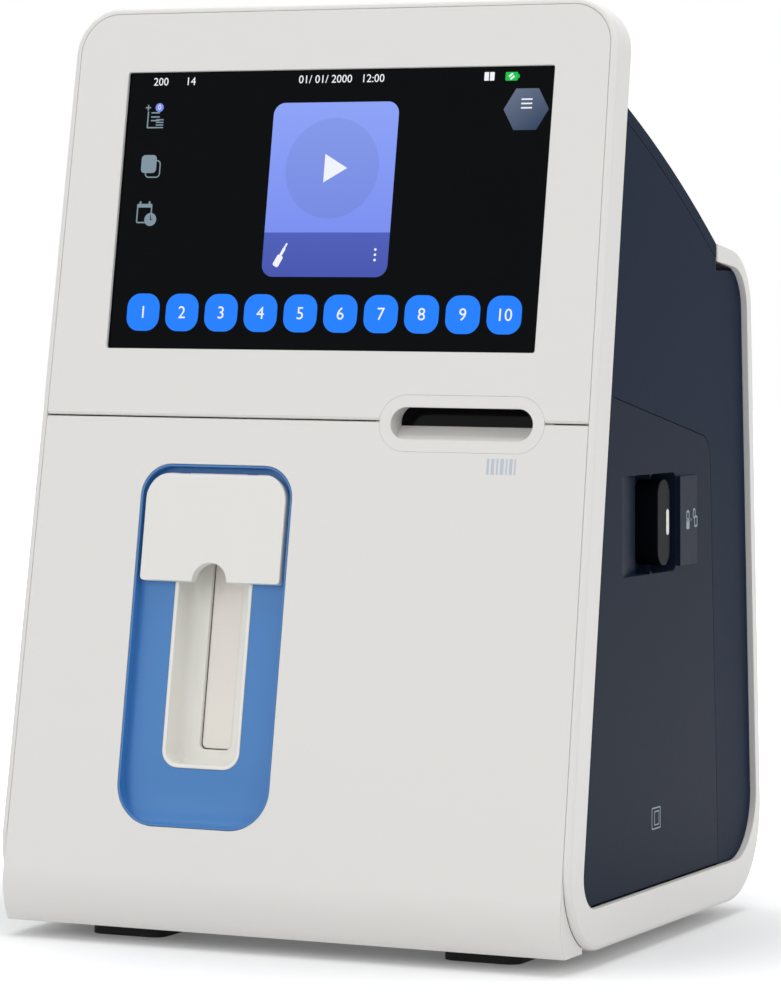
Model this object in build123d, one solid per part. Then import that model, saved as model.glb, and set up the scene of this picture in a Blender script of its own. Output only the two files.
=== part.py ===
from build123d import *
import os
from math import cos, dist, radians, sin, sqrt

# An upright bench analyzer for electrolytes in blood.  X is across the front, Y runs to the
# rear and Z is up.  The origin is on the bench, below the middle of the whole body.

# Body
BODY_W = 230.0          # width at the foot of the shell
BODY_D = 213.6          # depth over all
FOOT_H = 6.0            # shell above the bench
FACE_LEN = 348.3        # leaning front, measured along it
LEAN = 9.375            # front leans back, degrees
REAR_LEAN = 3.23        # rear leans forward, degrees
SIDE_TAPER = 0.77       # each side leans in, degrees
WALL = 2.6              # white shell wall
HOOP_DEPTH = 13.8       # white hoop round the front, front to back
HOOP_CORNER_R = 18.0
FRONT_FOOT_R = 30.0     # round lower front corner of the side rings
FOOT_RISE = 20.0        # height over which the front cover's foot rolls under
FOOT_ROLL_R = 28.0
REAR_FOOT_R = 36.0
REAR_TOP_R = 24.0
BODY_EDGE_R = 2.0
REAR_TOP_SLOPE = 7.0    # degrees
HOOD_DROP = 35.9        # top of the hoop to where the curved top meets it, along the front
HOOD_REAR_DROP = 92.2   # length of the front less the height where the curved top ends
HOOD_FRONT_S = FACE_LEN - HOOD_DROP
HOOD_REAR_V = FACE_LEN - HOOD_REAR_DROP
HOOD_REAR_GAP = 47.2    # from there to the rearmost point
HOOD_R = 660.0          # crown of the curved top

# Screen and seam, measured along the front
SCREEN_W = 174.0
SCREEN_H = 105.9
SCREEN_TOP = 25.2       # white above the visible screen
SEAM_DROP = 25.6        # screen's lower edge to the seam of the two front covers
SCREEN_S = FACE_LEN - SCREEN_TOP - SCREEN_H
SEAM_S = SCREEN_S - SEAM_DROP

# Side panels and the cartridge door
RECESS = 2.2            # panels lie this far inside the white shell
PANEL_T = 2.5
PANEL_GAP = 0.8
HOOD_SKIRT = 5.0
LIP_REACH = 3.0         # hidden lip of a panel behind the shell
LIP_GAP = 0.25
SILL = 15.5             # white band below the panel
REAR_BAND = 6.5
SILL_R = 12.0
REAR_SILL_R = 25.0
REAR_HEAD_R = 17.0
RING_RUN = 20.0         # length over which the ring rises from the curved top
RING_RUN_D = RECESS - 0.4
DOOR_TOP_RISE = 13.1    # door's top above the front seam, along the front
DOOR_TOP_S = SEAM_S + DOOR_TOP_RISE
DOOR_REAR = 46.9        # door's rear edge to the body's rear surface
DOOR_R = 10.0
DOOR_GAP = 0.3
DOOR_ROLL_R = 5.5       # rolled hinge edge
DOOR_OPEN = 95.0
DOOR_PIN_R = 0.9
DOOR_PIN_LEN = 12.0
DOOR_PIN_REACH = 5.0    # pin standing out of the door's edge
AXIS_BACK = 9.0         # hinge axis behind the door's front edge
AXIS_DEEP = 3.6         # hinge axis inside the body's side surface
HINGE_PAD = 4.0         # half width of the bosses that hold the pins
RUN_FIT = 0.05          # radial running clearance of pins and shafts

# Latch on the door
LATCH_DROP = 53.7       # latch's middle below the door's top
LATCH_V = DOOR_TOP_S - LATCH_DROP
LATCH_H = 37.0
LATCH_SET = 53.9        # middle of the finger opening to the door's rear edge
LATCH_OPEN_W = 29.0
LATCH_BAR_W = 13.0
LATCH_BAR_H = 32.0
LATCH_TRAVEL = 7.0
LATCH_SCOOP = 28.0
LATCH_PAD_W = 23.5
LATCH_PAD_RISE = 1.6
POCKET_D = 12.0
POCKET_T = 2.0

# Front covers
COVER_T = 2.5
COVER_FIT = 0.12
DISH_FIT = 0.2
BEZEL_FIT = 0.05
COVER_RIM = 8.0
CHEEK_INSET = WALL + COVER_FIT
SEAM_GAP = 0.6
SEAM_BEVEL = 0.8

# Display
SCREEN_REBATE = 1.4     # cover left in front of the glass
GLASS_MARGIN = 3.5
GLASS_T = 2.0
LCD_T = 5.0
BRACKET_T = 1.2

# Scanner
SLOT_W = 56.0
SLOT_H = 12.0
SLOT_SIDE = 54.6        # slot's middle from the body's side
SLOT_X = BODY_W / 2 - SLOT_SIDE
SLOT_S = SEAM_S - 0.8
BEZEL_RIM = 4.4
SLOT_DEPTH = 10.0
SLOT_RAMP = 6.5
SLOT_RELIEF = 2.2       # slot is taller than this behind its upper lip
SLOT_LIP = 1.0

# Sampler
DISH_SIDE = 79.0        # recess's middle from the body's other side
DISH_X = DISH_SIDE - BODY_W / 2
DISH_W = 62.0
DISH_H = 134.6
DISH_DROP = 17.9        # seam to the recess's top
DISH_TOP_S = SEAM_S - DISH_DROP
DISH_TOP_R = 12.0
DISH_FOOT_R = 15.5
DISH_D = 4.2
DISH_RIM = 0.7
DISH_PLATE = 2.0
DISH_RAMP = 26.0
FLAP_W = 57.3
FLAP_H = 40.6
FLAP_TOP_GAP = 3.0
FLAP_T = 4.0
FLAP_PROUD = 0.3
FLAP_R = 10.0
NOTCH_R = 7.1
FLAP_PIN_R = 0.5
FLAP_OPEN = 75.0
TROUGH_W = 28.6
TROUGH_H = 93.2
TROUGH_DROP = 17.7      # recess's top to the channel's head
TROUGH_HEAD_S = DISH_TOP_S - TROUGH_DROP
TROUGH_FOOT_S = TROUGH_HEAD_S - TROUGH_H
TROUGH_R = 5.0
TROUGH_D = 16.0
TROUGH_T = 1.6
TROUGH_FLOOR_R = 4.0    # round between the channel's floor and its walls
ARM_SLOT_W = 12.8
ARM_SLOT_FOOT = 6.4
ARM_FIT = 0.3
ARM_W = ARM_SLOT_W - 2 * ARM_FIT
ARM_FOOT_R = 2.0
ARM_T = 9.0
ARM_SET = 1.5           # arm's face behind the channel's floor
ARM_PIVOT_S = TROUGH_HEAD_S - 5.0
ARM_PIVOT_D = TROUGH_D + ARM_SET + ARM_T / 2
ARM_SWING = 30.0
PROBE_R = 0.8

LUG_W = 4.0
LUG_R = 1.1
LUG_X = 14.0            # each side of the flap's middle

# Rear cover, base and feet
REAR_STRIP = 14.0       # white edge strip left round the rear cover
REAR_SILL = 12.0
RAIL_W = 10.0
RAIL_FOOT = 44.0        # rails start above the rounded lower rear edge
BASE_STRIP = 16.0
BASE_T = 2.0
BASE_REAR_GAP = 36.8    # base tray's rear edge to the rearmost point
SEAT = 0.02             # clearance between bolted pieces
FOOT_W = 30.0
FOOT_L = 26.0
FOOT_SIDE = 43.0        # foot's middle from the body's side
FOOT_X = BODY_W / 2 - FOOT_SIDE
FOOT_FRONT = 38.0       # foot's middle behind the front of the base
FOOT_REAR = 58.0        # foot's middle ahead of the rearmost point
SCREW_R = 1.5
SCREW_HEAD_R = 2.8
SCREW_LEN = 7.0

# Inside
PLATE_X = 12.0          # upright steel plate between the cartridge and the electronics
PLATE_T = 2.0
PLATE_TOP = HOOD_REAR_V - 24.1
CART_X = 34.0           # inner end of the cartridge
CART_W = 50.0           # across the body
CART_L = 88.0           # front to back
CART_FRONT = 65.8       # front of the cartridge behind the front of the base
CART_SILL = 2.5         # underside of the cartridge above the panel's sill
CART_V = SILL + CART_SILL
CART_H = LATCH_V - CART_V - 29.0
CART_FIT = 0.4
CART_WALL = 1.8
CART_TRAVEL = 50.0
BAY_T = 2.4
BOARD_T = 1.6
STANDOFF = 8.0
STANDOFF_R = 2.5
PUMP_BACK = 98.8        # pump behind the front of the base
PUMP_V = HOOD_REAR_V - 51.1
PUMP_W = 15.0
PUMP_SHAFT_R = 2.0
ROLLER_R = 4.0
ROLLER_PCD_R = 10.5
TUBE_R = 2.0
FAN_W = 60.0
FAN_D = 15.0
FAN_SIDE = 65.0         # fan's middle from the body's side
FAN_X = FAN_SIDE - BODY_W / 2
FAN_V = HOOD_REAR_V - 91.1
BATTERY_SIDE = 15.9     # battery to the body's side
BATTERY_W = 34.2
BATTERY_L = 90.2
BATTERY_H = 41.4
SUPPLY_X = -12.0        # right face of the power supply
SUPPLY_W = 38.0
SUPPLY_GAP = 18.0       # valve block to power supply
SUPPLY_H = 40.0
VALVE_L = 24.0
VALVE_H = 18.0
SOLENOID_SHARE = 0.42   # radius as a share of the pitch
SOLENOID_H = 28.0

Y0 = -BODY_D / 2
Y1 = BODY_D / 2
BASE_REAR = Y1 - BASE_REAR_GAP
CART_Y = Y0 + CART_FRONT
PUMP_Y = Y0 + PUMP_BACK
SL, CL = sin(radians(LEAN)), cos(radians(LEAN))
SR, CR = sin(radians(REAR_LEAN)), cos(radians(REAR_LEAN))
REAR_FOOT_Y = Y1 - REAR_FOOT_R + REAR_FOOT_R / CR + REAR_FOOT_R * SR / CR
BIG = 2 * FACE_LEN

# Planes that the pieces are drawn on: the leaning front, the two sides and the rear
FACE = Plane(origin=(0, Y0, FOOT_H), x_dir=(1, 0, 0), z_dir=(0, -CL, SL))
ST, CT = sin(radians(SIDE_TAPER)), cos(radians(SIDE_TAPER))
SIDE = Plane(origin=(BODY_W / 2, 0, FOOT_H), x_dir=(0, 1, 0), z_dir=(CT, 0, ST))
MID = Plane(origin=(0, 0, FOOT_H), x_dir=(0, 1, 0), z_dir=(1, 0, 0))
REAR = Plane(origin=(0, REAR_FOOT_Y, FOOT_H), x_dir=(-1, 0, 0), z_dir=(0, CR, SR))


def front_at(s, depth=0.0):
    """Side-view point s along the leaning front and depth behind it."""
    return (Y0 + s * SL + depth * CL, s * CL - depth * SL)


def rear_at(v, inset=0.0):
    return REAR_FOOT_Y - inset / CR - v * SR / CR


def meet(p, a, q, b):
    """Where the line through p along a crosses the line through q along b."""
    k = ((q[0] - p[0]) * b[1] - (q[1] - p[1]) * b[0]) / (a[0] * b[1] - a[1] * b[0])
    return (p[0] + k * a[0], p[1] + k * a[1])


def hood_centre():
    s, c = front_at(HOOD_FRONT_S, HOOP_DEPTH), (Y1 - HOOD_REAR_GAP, HOOD_REAR_V)
    chord = dist(s, c)
    drop = sqrt(HOOD_R**2 - chord**2 / 4)
    return ((s[0] + c[0]) / 2 + (c[1] - s[1]) / chord * drop,
            (s[1] + c[1]) / 2 - (c[0] - s[0]) / chord * drop)


HOOD_O = hood_centre()


def on_hood(p, a, inset=0.0):
    """Where the line from p along the unit vector a reaches the curved top from inside."""
    r = HOOD_R - inset
    dx, dy = p[0] - HOOD_O[0], p[1] - HOOD_O[1]
    half = dx * a[0] + dy * a[1]
    k = -half + sqrt(half**2 - (dx**2 + dy**2 - r**2))
    return (p[0] + k * a[0], p[1] + k * a[1])


def hood_at(y, inset=0.0):
    return HOOD_O[1] + sqrt((HOOD_R - inset)**2 - (y - HOOD_O[0])**2)


def hood_arc(a, b, inset=0.0):
    mid = (a[0] + b[0]) / 2
    return ThreePointArc(a, (mid, hood_at(mid, inset)), b)


def soften(face, corners):
    for point, radius in corners:
        corner = min(face.vertices(), key=lambda v: dist((v.X, v.Y), point))
        face = fillet(corner, radius)
    return face


REAR_DIR = (-SR, CR)
TOP_DIR = (cos(radians(REAR_TOP_SLOPE)), -sin(radians(REAR_TOP_SLOPE)))
HOOD_END = (Y1 - HOOD_REAR_GAP, HOOD_REAR_V)


def body_outline(inset=0.0, foot_r=FRONT_FOOT_R, open_front=False):
    """Side view of the whole body, drawn in by inset."""
    front = -WALL if open_front else inset
    a = meet(front_at(0, front), (SL, CL), (0, inset), (1, 0))
    b = front_at(FACE_LEN - inset, front)
    bt = front_at(FACE_LEN - inset, HOOP_DEPTH - inset)
    s = on_hood(front_at(0, HOOP_DEPTH - inset), (SL, CL), inset)
    top = (HOOD_END[0] + inset * TOP_DIR[1], HOOD_END[1] - inset * TOP_DIR[0])
    c = on_hood((top[0] - 20 * TOP_DIR[0], top[1] - 20 * TOP_DIR[1]), TOP_DIR, inset)
    e0 = (rear_at(0, inset), 0.0)
    d = meet(top, TOP_DIR, e0, REAR_DIR)
    e = meet(e0, REAR_DIR, (0, inset), (1, 0))
    edges = [Line(a, b), Line(b, bt), Line(bt, s), hood_arc(s, c, inset),
             Line(c, d), Line(d, e), Line(e, a)]
    face = make_face(Wire(edges))
    corners = [(d, max(REAR_TOP_R - inset, 1.0)), (e, max(REAR_FOOT_R - inset, 1.0))]
    if foot_r - inset > 0.5 and not open_front:
        corners.append((a, foot_r - inset))
    return soften(face, corners)


def across(face, half=BODY_W):
    """A side-view face stretched right across the body."""
    return extrude(MID * face, half, both=True)


def core(inset=0.0):
    """Everything between the two leaning side planes, drawn in by inset."""
    foot = BODY_W / 2 - inset / CT
    lean = ST / CT
    low, high = -50.0, FACE_LEN + 50.0
    points = [(foot - low * lean, low), (foot - high * lean, high),
              (-foot + high * lean, high), (-foot + low * lean, low)]
    plane = Plane(origin=(0, 0, FOOT_H), x_dir=(1, 0, 0), z_dir=(0, -1, 0))
    return extrude(plane * make_face(Polyline(*points, close=True)), BODY_D, both=True)


def face_block(x, s, w, h, near, far):
    """A block in the front's frame: centre x, lower edge s, from depth near to depth far."""
    return FACE * (Pos(x, s + h / 2, -(near + far) / 2) * Box(w, h, far - near))


def face_prism(sketch, near, far):
    """A sketch in the front's frame, from depth near to depth far."""
    return FACE * extrude(Pos(0, 0, -far) * sketch, far - near)


def side_prism(sketch, near, far):
    """A sketch in the right side's frame, from depth near to depth far."""
    return SIDE * extrude(Pos(0, 0, -far) * sketch, far - near)


def block(x, y, z):
    """A block from its low and high limits along each axis."""
    return Pos(sum(x) / 2, sum(y) / 2, sum(z) / 2) * Box(x[1] - x[0], y[1] - y[0], z[1] - z[0])


def rod(centre, radius, length, axis):
    """A rod whose middle is at centre."""
    return Plane(origin=centre, z_dir=axis) * Cylinder(radius, length)


def export(name, shape):
    solids = shape.solids()
    body = solids[0] if len(solids) == 1 else Compound(children=list(solids))
    body.label = name
    export_step(body, f"parts/{name}.step")


# White shell
def round_top(shape, radius):
    """Rounds the two upper corners of a piece in the front's frame."""
    deep = [e for e in shape.edges() if abs((e % 0.5).dot(FACE.z_dir)) > 0.99]
    top = max(FACE.to_local_coords(e.center()).Y for e in deep)
    corners = [e for e in deep if FACE.to_local_coords(e.center()).Y > top - 1
               and abs(e.center().X) > BODY_W / 4]
    return fillet(corners, radius)


def window_outline(grow=0.0, open_top=True):
    """Side window of the white shell, which the dark panels fill, in the side's frame."""
    front = HOOP_DEPTH - grow
    sill = SILL - grow
    a = meet(front_at(0, front), (SL, CL), (0, sill), (1, 0))
    b = front_at(FACE_LEN + 40, front)
    head = (HOOD_END[0] + (REAR_BAND - grow) * TOP_DIR[1],
            HOOD_END[1] - (REAR_BAND - grow) * TOP_DIR[0])
    e0 = (rear_at(0, REAR_BAND - grow), 0.0)
    d = meet(head, TOP_DIR, e0, REAR_DIR)
    e = meet(e0, REAR_DIR, (0, sill), (1, 0))
    up = (head[0], FACE_LEN + 40)
    face = make_face(Polyline(a, b, up, head, d, e, close=True))
    return soften(face, [(a, max(SILL_R + grow, 0.5)), (d, max(REAR_HEAD_R + grow, 0.5)),
                         (e, max(REAR_SILL_R + grow, 0.5))])



def mirrored(shape):
    return mirror(shape, about=Plane.YZ)


def rear_zone(grow=0.0):
    """Side view of what the rear cover takes out of the white shell."""
    sill = REAR_SILL - grow
    step = HOOD_REAR_V - REAR_TOP_R - WALL
    y = HOOD_END[0] - 5 if grow > -0.1 else HOOD_END[0] - grow
    points = [(y, FACE_LEN), (y, step), (rear_at(step, 3 * WALL), step),
              (rear_at(sill, 3 * WALL), sill), (Y1 + 20, sill), (Y1 + 20, FACE_LEN)]
    return make_face(Polyline(*points, close=True))


def ring_run_out():
    """What comes off the ring's side where it runs out beside the curved top."""
    along = Plane(origin=SIDE.origin, x_dir=SIDE.x_dir, z_dir=SIDE.y_dir)
    start, end = HOOD_END[0] - 1, HOOD_END[0] + RING_RUN
    wedge = make_face(Polyline((start, -1), (end, -1), (end, 0), (start, RING_RUN_D), close=True))
    return extrude(along * Pos(0, 0, HOOD_REAR_V - 4 * REAR_BAND) * wedge, 6 * REAR_BAND)


def housing_shell():
    outer = round_top(across(body_outline()) & core(), HOOP_CORNER_R)
    bottom = outer.faces().sort_by(Axis.Z)[0]
    outer = fillet(bottom.edges().filter_by(lambda e: abs(e.center().X) > BODY_W / 3), BODY_EDGE_R)
    cavity = round_top(across(body_outline(WALL, open_front=True)) & core(WALL), HOOP_CORNER_R - WALL)
    shell = outer - cavity
    window = side_prism(window_outline(), -10, 3 * WALL)
    y_end = HOOD_END[0]
    hood_zone = across(make_face(Polyline(
        front_at(HOOD_FRONT_S / 2, HOOP_DEPTH), front_at(FACE_LEN + 40, HOOP_DEPTH),
        (y_end, FACE_LEN + 40), (y_end, HOOD_REAR_V - 3 * WALL), close=True)))
    rear_cut = across(rear_zone()) & core(REAR_STRIP)
    base_cut = core(BASE_STRIP) & block((-BODY_W, BODY_W), (Y0 - 20, BASE_REAR - 4.0),
                                        (0, FOOT_H + 2 * WALL))
    lower_front = core(BASE_STRIP) & block((-BODY_W, BODY_W), (Y0 - 20, Y0 + FRONT_FOOT_R),
                                           (0, FOOT_H + FRONT_FOOT_R))
    shell = shell - window - mirrored(window) - hood_zone - rear_cut - base_cut - lower_front
    run_out = ring_run_out()
    shell = shell - run_out - mirrored(run_out)
    lining = across(body_outline(WALL)) - across(body_outline(2 * WALL))
    rail_zone = across(rear_zone(RAIL_W / 2)) & (core(2 * WALL) - core(REAR_STRIP + RAIL_W))
    rail_zone = rail_zone & block((-BODY_W, BODY_W), (y_end + 0.5, Y1), (FOOT_H + RAIL_FOOT, BIG))
    rails = lining & rail_zone
    for hole in rear_screw_places():
        rails = rails - REAR * (Pos(hole[0], hole[1], -1.5 * WALL) * Cylinder(SCREW_R, 4 * WALL))
    return shell + rails


def rear_screw_places():
    """Screw centres in the rear plane's own axes."""
    lean = ST / CT
    places = []
    for v in (RAIL_FOOT + 10, HOOD_REAR_V / 2 + 10, HOOD_REAR_V - REAR_TOP_R - 20):
        x = BODY_W / 2 - v * lean - REAR_STRIP - RAIL_W / 2
        places += [(x, v), (-x, v)]
    return places


def cover_body(low, high, top=False):
    """Shallow tray that fills the hoop between two places along the front."""
    inset = WALL + COVER_FIT
    wall = inset + COVER_T
    outer = face_block(0, low, BODY_W, high - low, 0, COVER_RIM) & core(inset)
    hollow_top = high - COVER_T if top else high + 1
    hollow = face_block(0, low - 1, BODY_W, hollow_top - low + 1, COVER_T, COVER_RIM + 1) & core(wall)
    if top:
        outer = round_top(outer, HOOP_CORNER_R - inset)
        hollow = round_top(hollow, HOOP_CORNER_R - wall)
    return outer - hollow


def stadium(width, height):
    return SlotOverall(width, height)


def seam_bevel(cover, s, direction):
    """Takes the front edge off a cover along the seam."""
    edges = cover.edges().filter_by(
        lambda e: abs(FACE.to_local_coords(e.center()).Y - s) < 0.01
        and abs(FACE.to_local_coords(e.center()).Z) < 0.01)
    return chamfer(edges, SEAM_BEVEL)


def front_cover_upper():
    low = SEAM_S + SEAM_GAP / 2
    cover = cover_body(low, FACE_LEN - WALL - COVER_FIT, top=True)
    window = face_prism(Pos(0, SCREEN_S + SCREEN_H / 2) * RectangleRounded(SCREEN_W, SCREEN_H, 1.0),
                        -5, COVER_RIM)
    rebate = face_block(0, SCREEN_S - GLASS_MARGIN - COVER_FIT, SCREEN_W + 2 * (GLASS_MARGIN + COVER_FIT),
                        SCREEN_H + 2 * (GLASS_MARGIN + COVER_FIT), SCREEN_REBATE, COVER_RIM)
    bezel = face_prism(Pos(SLOT_X, SLOT_S) * stadium(SLOT_W + 2 * BEZEL_RIM + 2 * BEZEL_FIT,
                                                     SLOT_H + 2 * BEZEL_RIM + 2 * BEZEL_FIT), -5, 30)
    cover = seam_bevel(cover, low, 1)
    return cover - window - rebate - bezel


def foot_roll(inset=0.0):
    """Side view of what the rolled foot of the front cover leaves out."""
    centre = front_at(FOOT_RISE, FOOT_ROLL_R)
    near = front_at(FOOT_RISE, -10)
    corner = make_face(Polyline(near, centre, (centre[0], -10), (Y0 - 20, -10), (Y0 - 20, near[1]), close=True))
    return corner - Pos(*centre) * Circle(FOOT_ROLL_R - inset)


def front_cover_lower():
    high = SEAM_S - SEAM_GAP / 2
    cover = cover_body(FRONT_FOOT_R, high)
    cover = seam_bevel(cover, high, -1)
    # the foot of the cover wraps round the rounded lower corners of the rings
    wedge = across(body_outline(0, 1.5)) - across(offset_foot_outline())
    wedge = wedge & block((-BODY_W, BODY_W), (Y0 - 5, Y0 + WEDGE_END), (0, FOOT_H + WEDGE_END))
    wedge = wedge & core(CHEEK_INSET)
    plate = face_block(0, 0, BODY_W, FRONT_FOOT_R + 1, 0, COVER_T) & core(WALL + COVER_FIT)
    floor = block((-BODY_W, BODY_W), (Y0, Y0 + WEDGE_END), (FOOT_H, FOOT_H + COVER_T)) \
        & core(BASE_STRIP + COVER_FIT) & across(body_outline(0, 1.5))
    hollow = core(CHEEK_INSET + COVER_T) & across(body_outline(COVER_T, 1.0))
    wedge = (wedge - hollow) + (plate & across(body_outline(0, 1.5))) + floor
    roll = across(foot_roll(COVER_T) - foot_roll()) & across(body_outline(0, 1.5)) & core(CHEEK_INSET)
    cover = cover + wedge + roll - across(foot_roll())
    dish = face_prism(dish_outline(DISH_FIT), -5, 30)
    bezel = face_prism(Pos(SLOT_X, SLOT_S) * stadium(SLOT_W + 2 * BEZEL_RIM + 2 * BEZEL_FIT,
                                                     SLOT_H + 2 * BEZEL_RIM + 2 * BEZEL_FIT), -5, 30)
    return cover - dish - bezel


WEDGE_END = 24.0


def offset_foot_outline():
    """Side view of the rings, grown a little, for the front cover's foot to clear."""
    return body_outline(-COVER_FIT, FRONT_FOOT_R)


def dish_outline(grow=0.0):
    w, h = DISH_W + 2 * grow, DISH_H + 2 * grow
    top, foot = DISH_TOP_S + grow, DISH_TOP_S - DISH_H - grow
    left, right = DISH_X - w / 2, DISH_X + w / 2
    face = make_face(Polyline((left, foot), (right, foot), (right, top), (left, top), close=True))
    return soften(face, [((left, foot), DISH_FOOT_R + grow), ((right, foot), DISH_FOOT_R + grow),
                         ((right, top), DISH_TOP_R + grow), ((left, top), DISH_TOP_R + grow)])


def trough_outline(grow=0.0):
    h = TROUGH_HEAD_S - TROUGH_FOOT_S
    return Pos(DISH_X, TROUGH_FOOT_S + h / 2) * RectangleRounded(
        TROUGH_W + 2 * grow, h + 2 * grow, TROUGH_R + grow)


def lug_post(x):
    """Post on the dish floor that carries the flap's pin."""
    s, d = FLAP_AXIS
    post = face_block(x, s - LUG_R, LUG_W, 2 * LUG_R, d, DISH_D + 0.1)
    eye = FACE * (Pos(x, s, -d) * Rot(0, 90, 0) * Cylinder(LUG_R, LUG_W))
    bore = FACE * (Pos(x, s, -d) * Rot(0, 90, 0) * Cylinder(FLAP_PIN_R + 0.02, LUG_W + 2))
    return post + eye - bore


FLAP_TOP_S = DISH_TOP_S - FLAP_TOP_GAP
FLAP_AXIS = (FLAP_TOP_S - FLAP_T / 2, FLAP_T / 2 - FLAP_PROUD)


def sampler_surround():
    back = DISH_D + DISH_PLATE
    body = face_prism(dish_outline(), 0.15, back)
    flange = face_prism(dish_outline(3.0), COVER_T + 0.1, COVER_T + 1.7)
    top, foot = DISH_TOP_S - DISH_RIM, DISH_TOP_S - DISH_H + DISH_RIM
    # dish in side view: steep head wall, flat floor and a long ramp at the foot
    ramp = Spline((foot + DISH_RAMP, -DISH_D), (foot, -0.6),
                  tangents=[(-1, 0), (-0.55, 1)])
    outline = Wire([Line((foot, 5), (top, 5)), Line((top, 5), (top, -DISH_D)),
                    Line((top, -DISH_D), (foot + DISH_RAMP, -DISH_D)), ramp.edge(),
                    Line((foot, -0.6), (foot, 5))])
    plane = Plane(origin=FACE.from_local_coords((DISH_X, 0, 0)), x_dir=FACE.y_dir,
                  z_dir=(-1, 0, 0))
    if (plane.y_dir - FACE.z_dir).length > 0.01:
        plane = Plane(origin=FACE.from_local_coords((DISH_X, 0, 0)), x_dir=FACE.y_dir,
                      z_dir=(1, 0, 0))
    dish = extrude(plane * make_face(outline), DISH_W, both=True)
    dish = dish & face_prism(dish_outline(-DISH_RIM), -10, 30)
    hole = face_prism(trough_outline(TROUGH_T + 0.1), -5, 30)
    body = body + flange - dish - hole
    return body + lug_post(DISH_X - LUG_X) + lug_post(DISH_X + LUG_X)


def probe_trough():
    outer = face_prism(trough_outline(TROUGH_T), DISH_D, TROUGH_D + TROUGH_T)
    flange = face_prism(trough_outline(TROUGH_T + 3.0), DISH_D + DISH_PLATE + SEAT,
                        DISH_D + DISH_PLATE + TROUGH_T)
    hollow = face_prism(trough_outline(), -5, TROUGH_D)
    floor = min(hollow.faces(), key=lambda f: FACE.to_local_coords(f.center()).Z)
    hollow = fillet(floor.edges(), TROUGH_FLOOR_R)
    slot_foot = TROUGH_FOOT_S + ARM_SLOT_FOOT
    slot = face_prism(arm_outline(slot_foot, TROUGH_HEAD_S, ARM_SLOT_W, ARM_FOOT_R + ARM_FIT), 0, 2 * TROUGH_D)
    return outer + flange - hollow - slot


def flap_outline():
    low = FLAP_TOP_S - FLAP_H
    left, right = DISH_X - FLAP_W / 2, DISH_X + FLAP_W / 2
    face = make_face(Polyline((left, low), (right, low), (right, FLAP_TOP_S), (left, FLAP_TOP_S),
                              close=True))
    face = soften(face, [((left, low), 1.5), ((right, low), 1.5),
                         ((right, FLAP_TOP_S), FLAP_R), ((left, FLAP_TOP_S), FLAP_R)])
    return face - Pos(DISH_X, low) * Circle(NOTCH_R)


def sampler_flap():
    s, d = FLAP_AXIS
    flap = face_prism(flap_outline(), -FLAP_PROUD, FLAP_T - FLAP_PROUD)
    round_edge = FACE * (Pos(DISH_X, s, -d) * Rot(0, 90, 0) * Cylinder(FLAP_T / 2, FLAP_W))
    above = face_block(DISH_X, s, FLAP_W + 2, FLAP_T, d - FLAP_T, d + FLAP_T)
    flap = flap - (above - round_edge)
    for side in (-1, 1):
        x = DISH_X + side * LUG_X
        flap = flap - face_block(x, s - LUG_R - 0.5, LUG_W + 0.8, 2 * FLAP_T, d - LUG_R + 0.1, 2 * FLAP_T)
        flap = flap - FACE * (Pos(x, s, -d) * Rot(0, 90, 0) * Cylinder(LUG_R + 0.3, LUG_W + 0.8))
    pin_bore = FACE * (Pos(DISH_X, s, -d) * Rot(0, 90, 0) * Cylinder(FLAP_PIN_R, FLAP_PIN_LEN))
    return flap - pin_bore


FLAP_PIN_LEN = 2 * LUG_X + LUG_W + 6.0


def flap_pin():
    s, d = FLAP_AXIS
    return FACE * (Pos(DISH_X, s, -d) * Rot(0, 90, 0) * Cylinder(FLAP_PIN_R, FLAP_PIN_LEN))


ARM_FOOT_S = TROUGH_FOOT_S + ARM_SLOT_FOOT + 0.45
ARM_FORK = 14.0
ARM_SKIN = 2.0          # arm's face ahead of the fork
SHAFT_R = 2.0
SHAFT_LEN = 28.0
EAR_T = 2.0


def arm_outline(foot, head, width, radius):
    """Strip down the middle of the channel, its lower corners rounded."""
    left, right = DISH_X - width / 2, DISH_X + width / 2
    face = make_face(Polyline((left, foot), (right, foot), (right, head), (left, head), close=True))
    return soften(face, [((left, foot), radius), ((right, foot), radius)])


def probe_arm():
    body = face_prism(arm_outline(ARM_FOOT_S, ARM_PIVOT_S, ARM_W, ARM_FOOT_R),
                      ARM_PIVOT_D - ARM_T / 2, ARM_PIVOT_D + ARM_T / 2)
    boss = FACE * (Pos(DISH_X, ARM_PIVOT_S, -ARM_PIVOT_D) * Rot(0, 90, 0) * Cylinder(ARM_T / 2, ARM_W))
    fork = face_block(DISH_X, ARM_FOOT_S - 1, 5.0, ARM_FORK + 1, ARM_PIVOT_D - ARM_SKIN, 2 * ARM_PIVOT_D)
    shaft = FACE * (Pos(DISH_X, ARM_PIVOT_S, -ARM_PIVOT_D) * Rot(0, 90, 0)
                    * Cylinder(SHAFT_R, SHAFT_LEN))
    needle = FACE * (Pos(DISH_X, ARM_FOOT_S + 1 + NEEDLE_LEN / 2, -ARM_PIVOT_D) * Rot(90, 0, 0)
                     * Cylinder(PROBE_R, NEEDLE_LEN))
    return body + boss - fork - shaft - needle


NEEDLE_LEN = 32.0


def arm_shaft():
    return FACE * (Pos(DISH_X, ARM_PIVOT_S, -ARM_PIVOT_D) * Rot(0, 90, 0)
                   * Cylinder(SHAFT_R, SHAFT_LEN))


def sample_probe():
    return FACE * (Pos(DISH_X, ARM_FOOT_S + 1 + NEEDLE_LEN / 2, -ARM_PIVOT_D) * Rot(90, 0, 0)
                   * Cylinder(PROBE_R, NEEDLE_LEN))


BRACKET_FRONT = TROUGH_D + TROUGH_T + SEAT
BRACKET_BACK = ARM_PIVOT_D + ARM_T / 2 + 3.5


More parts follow.
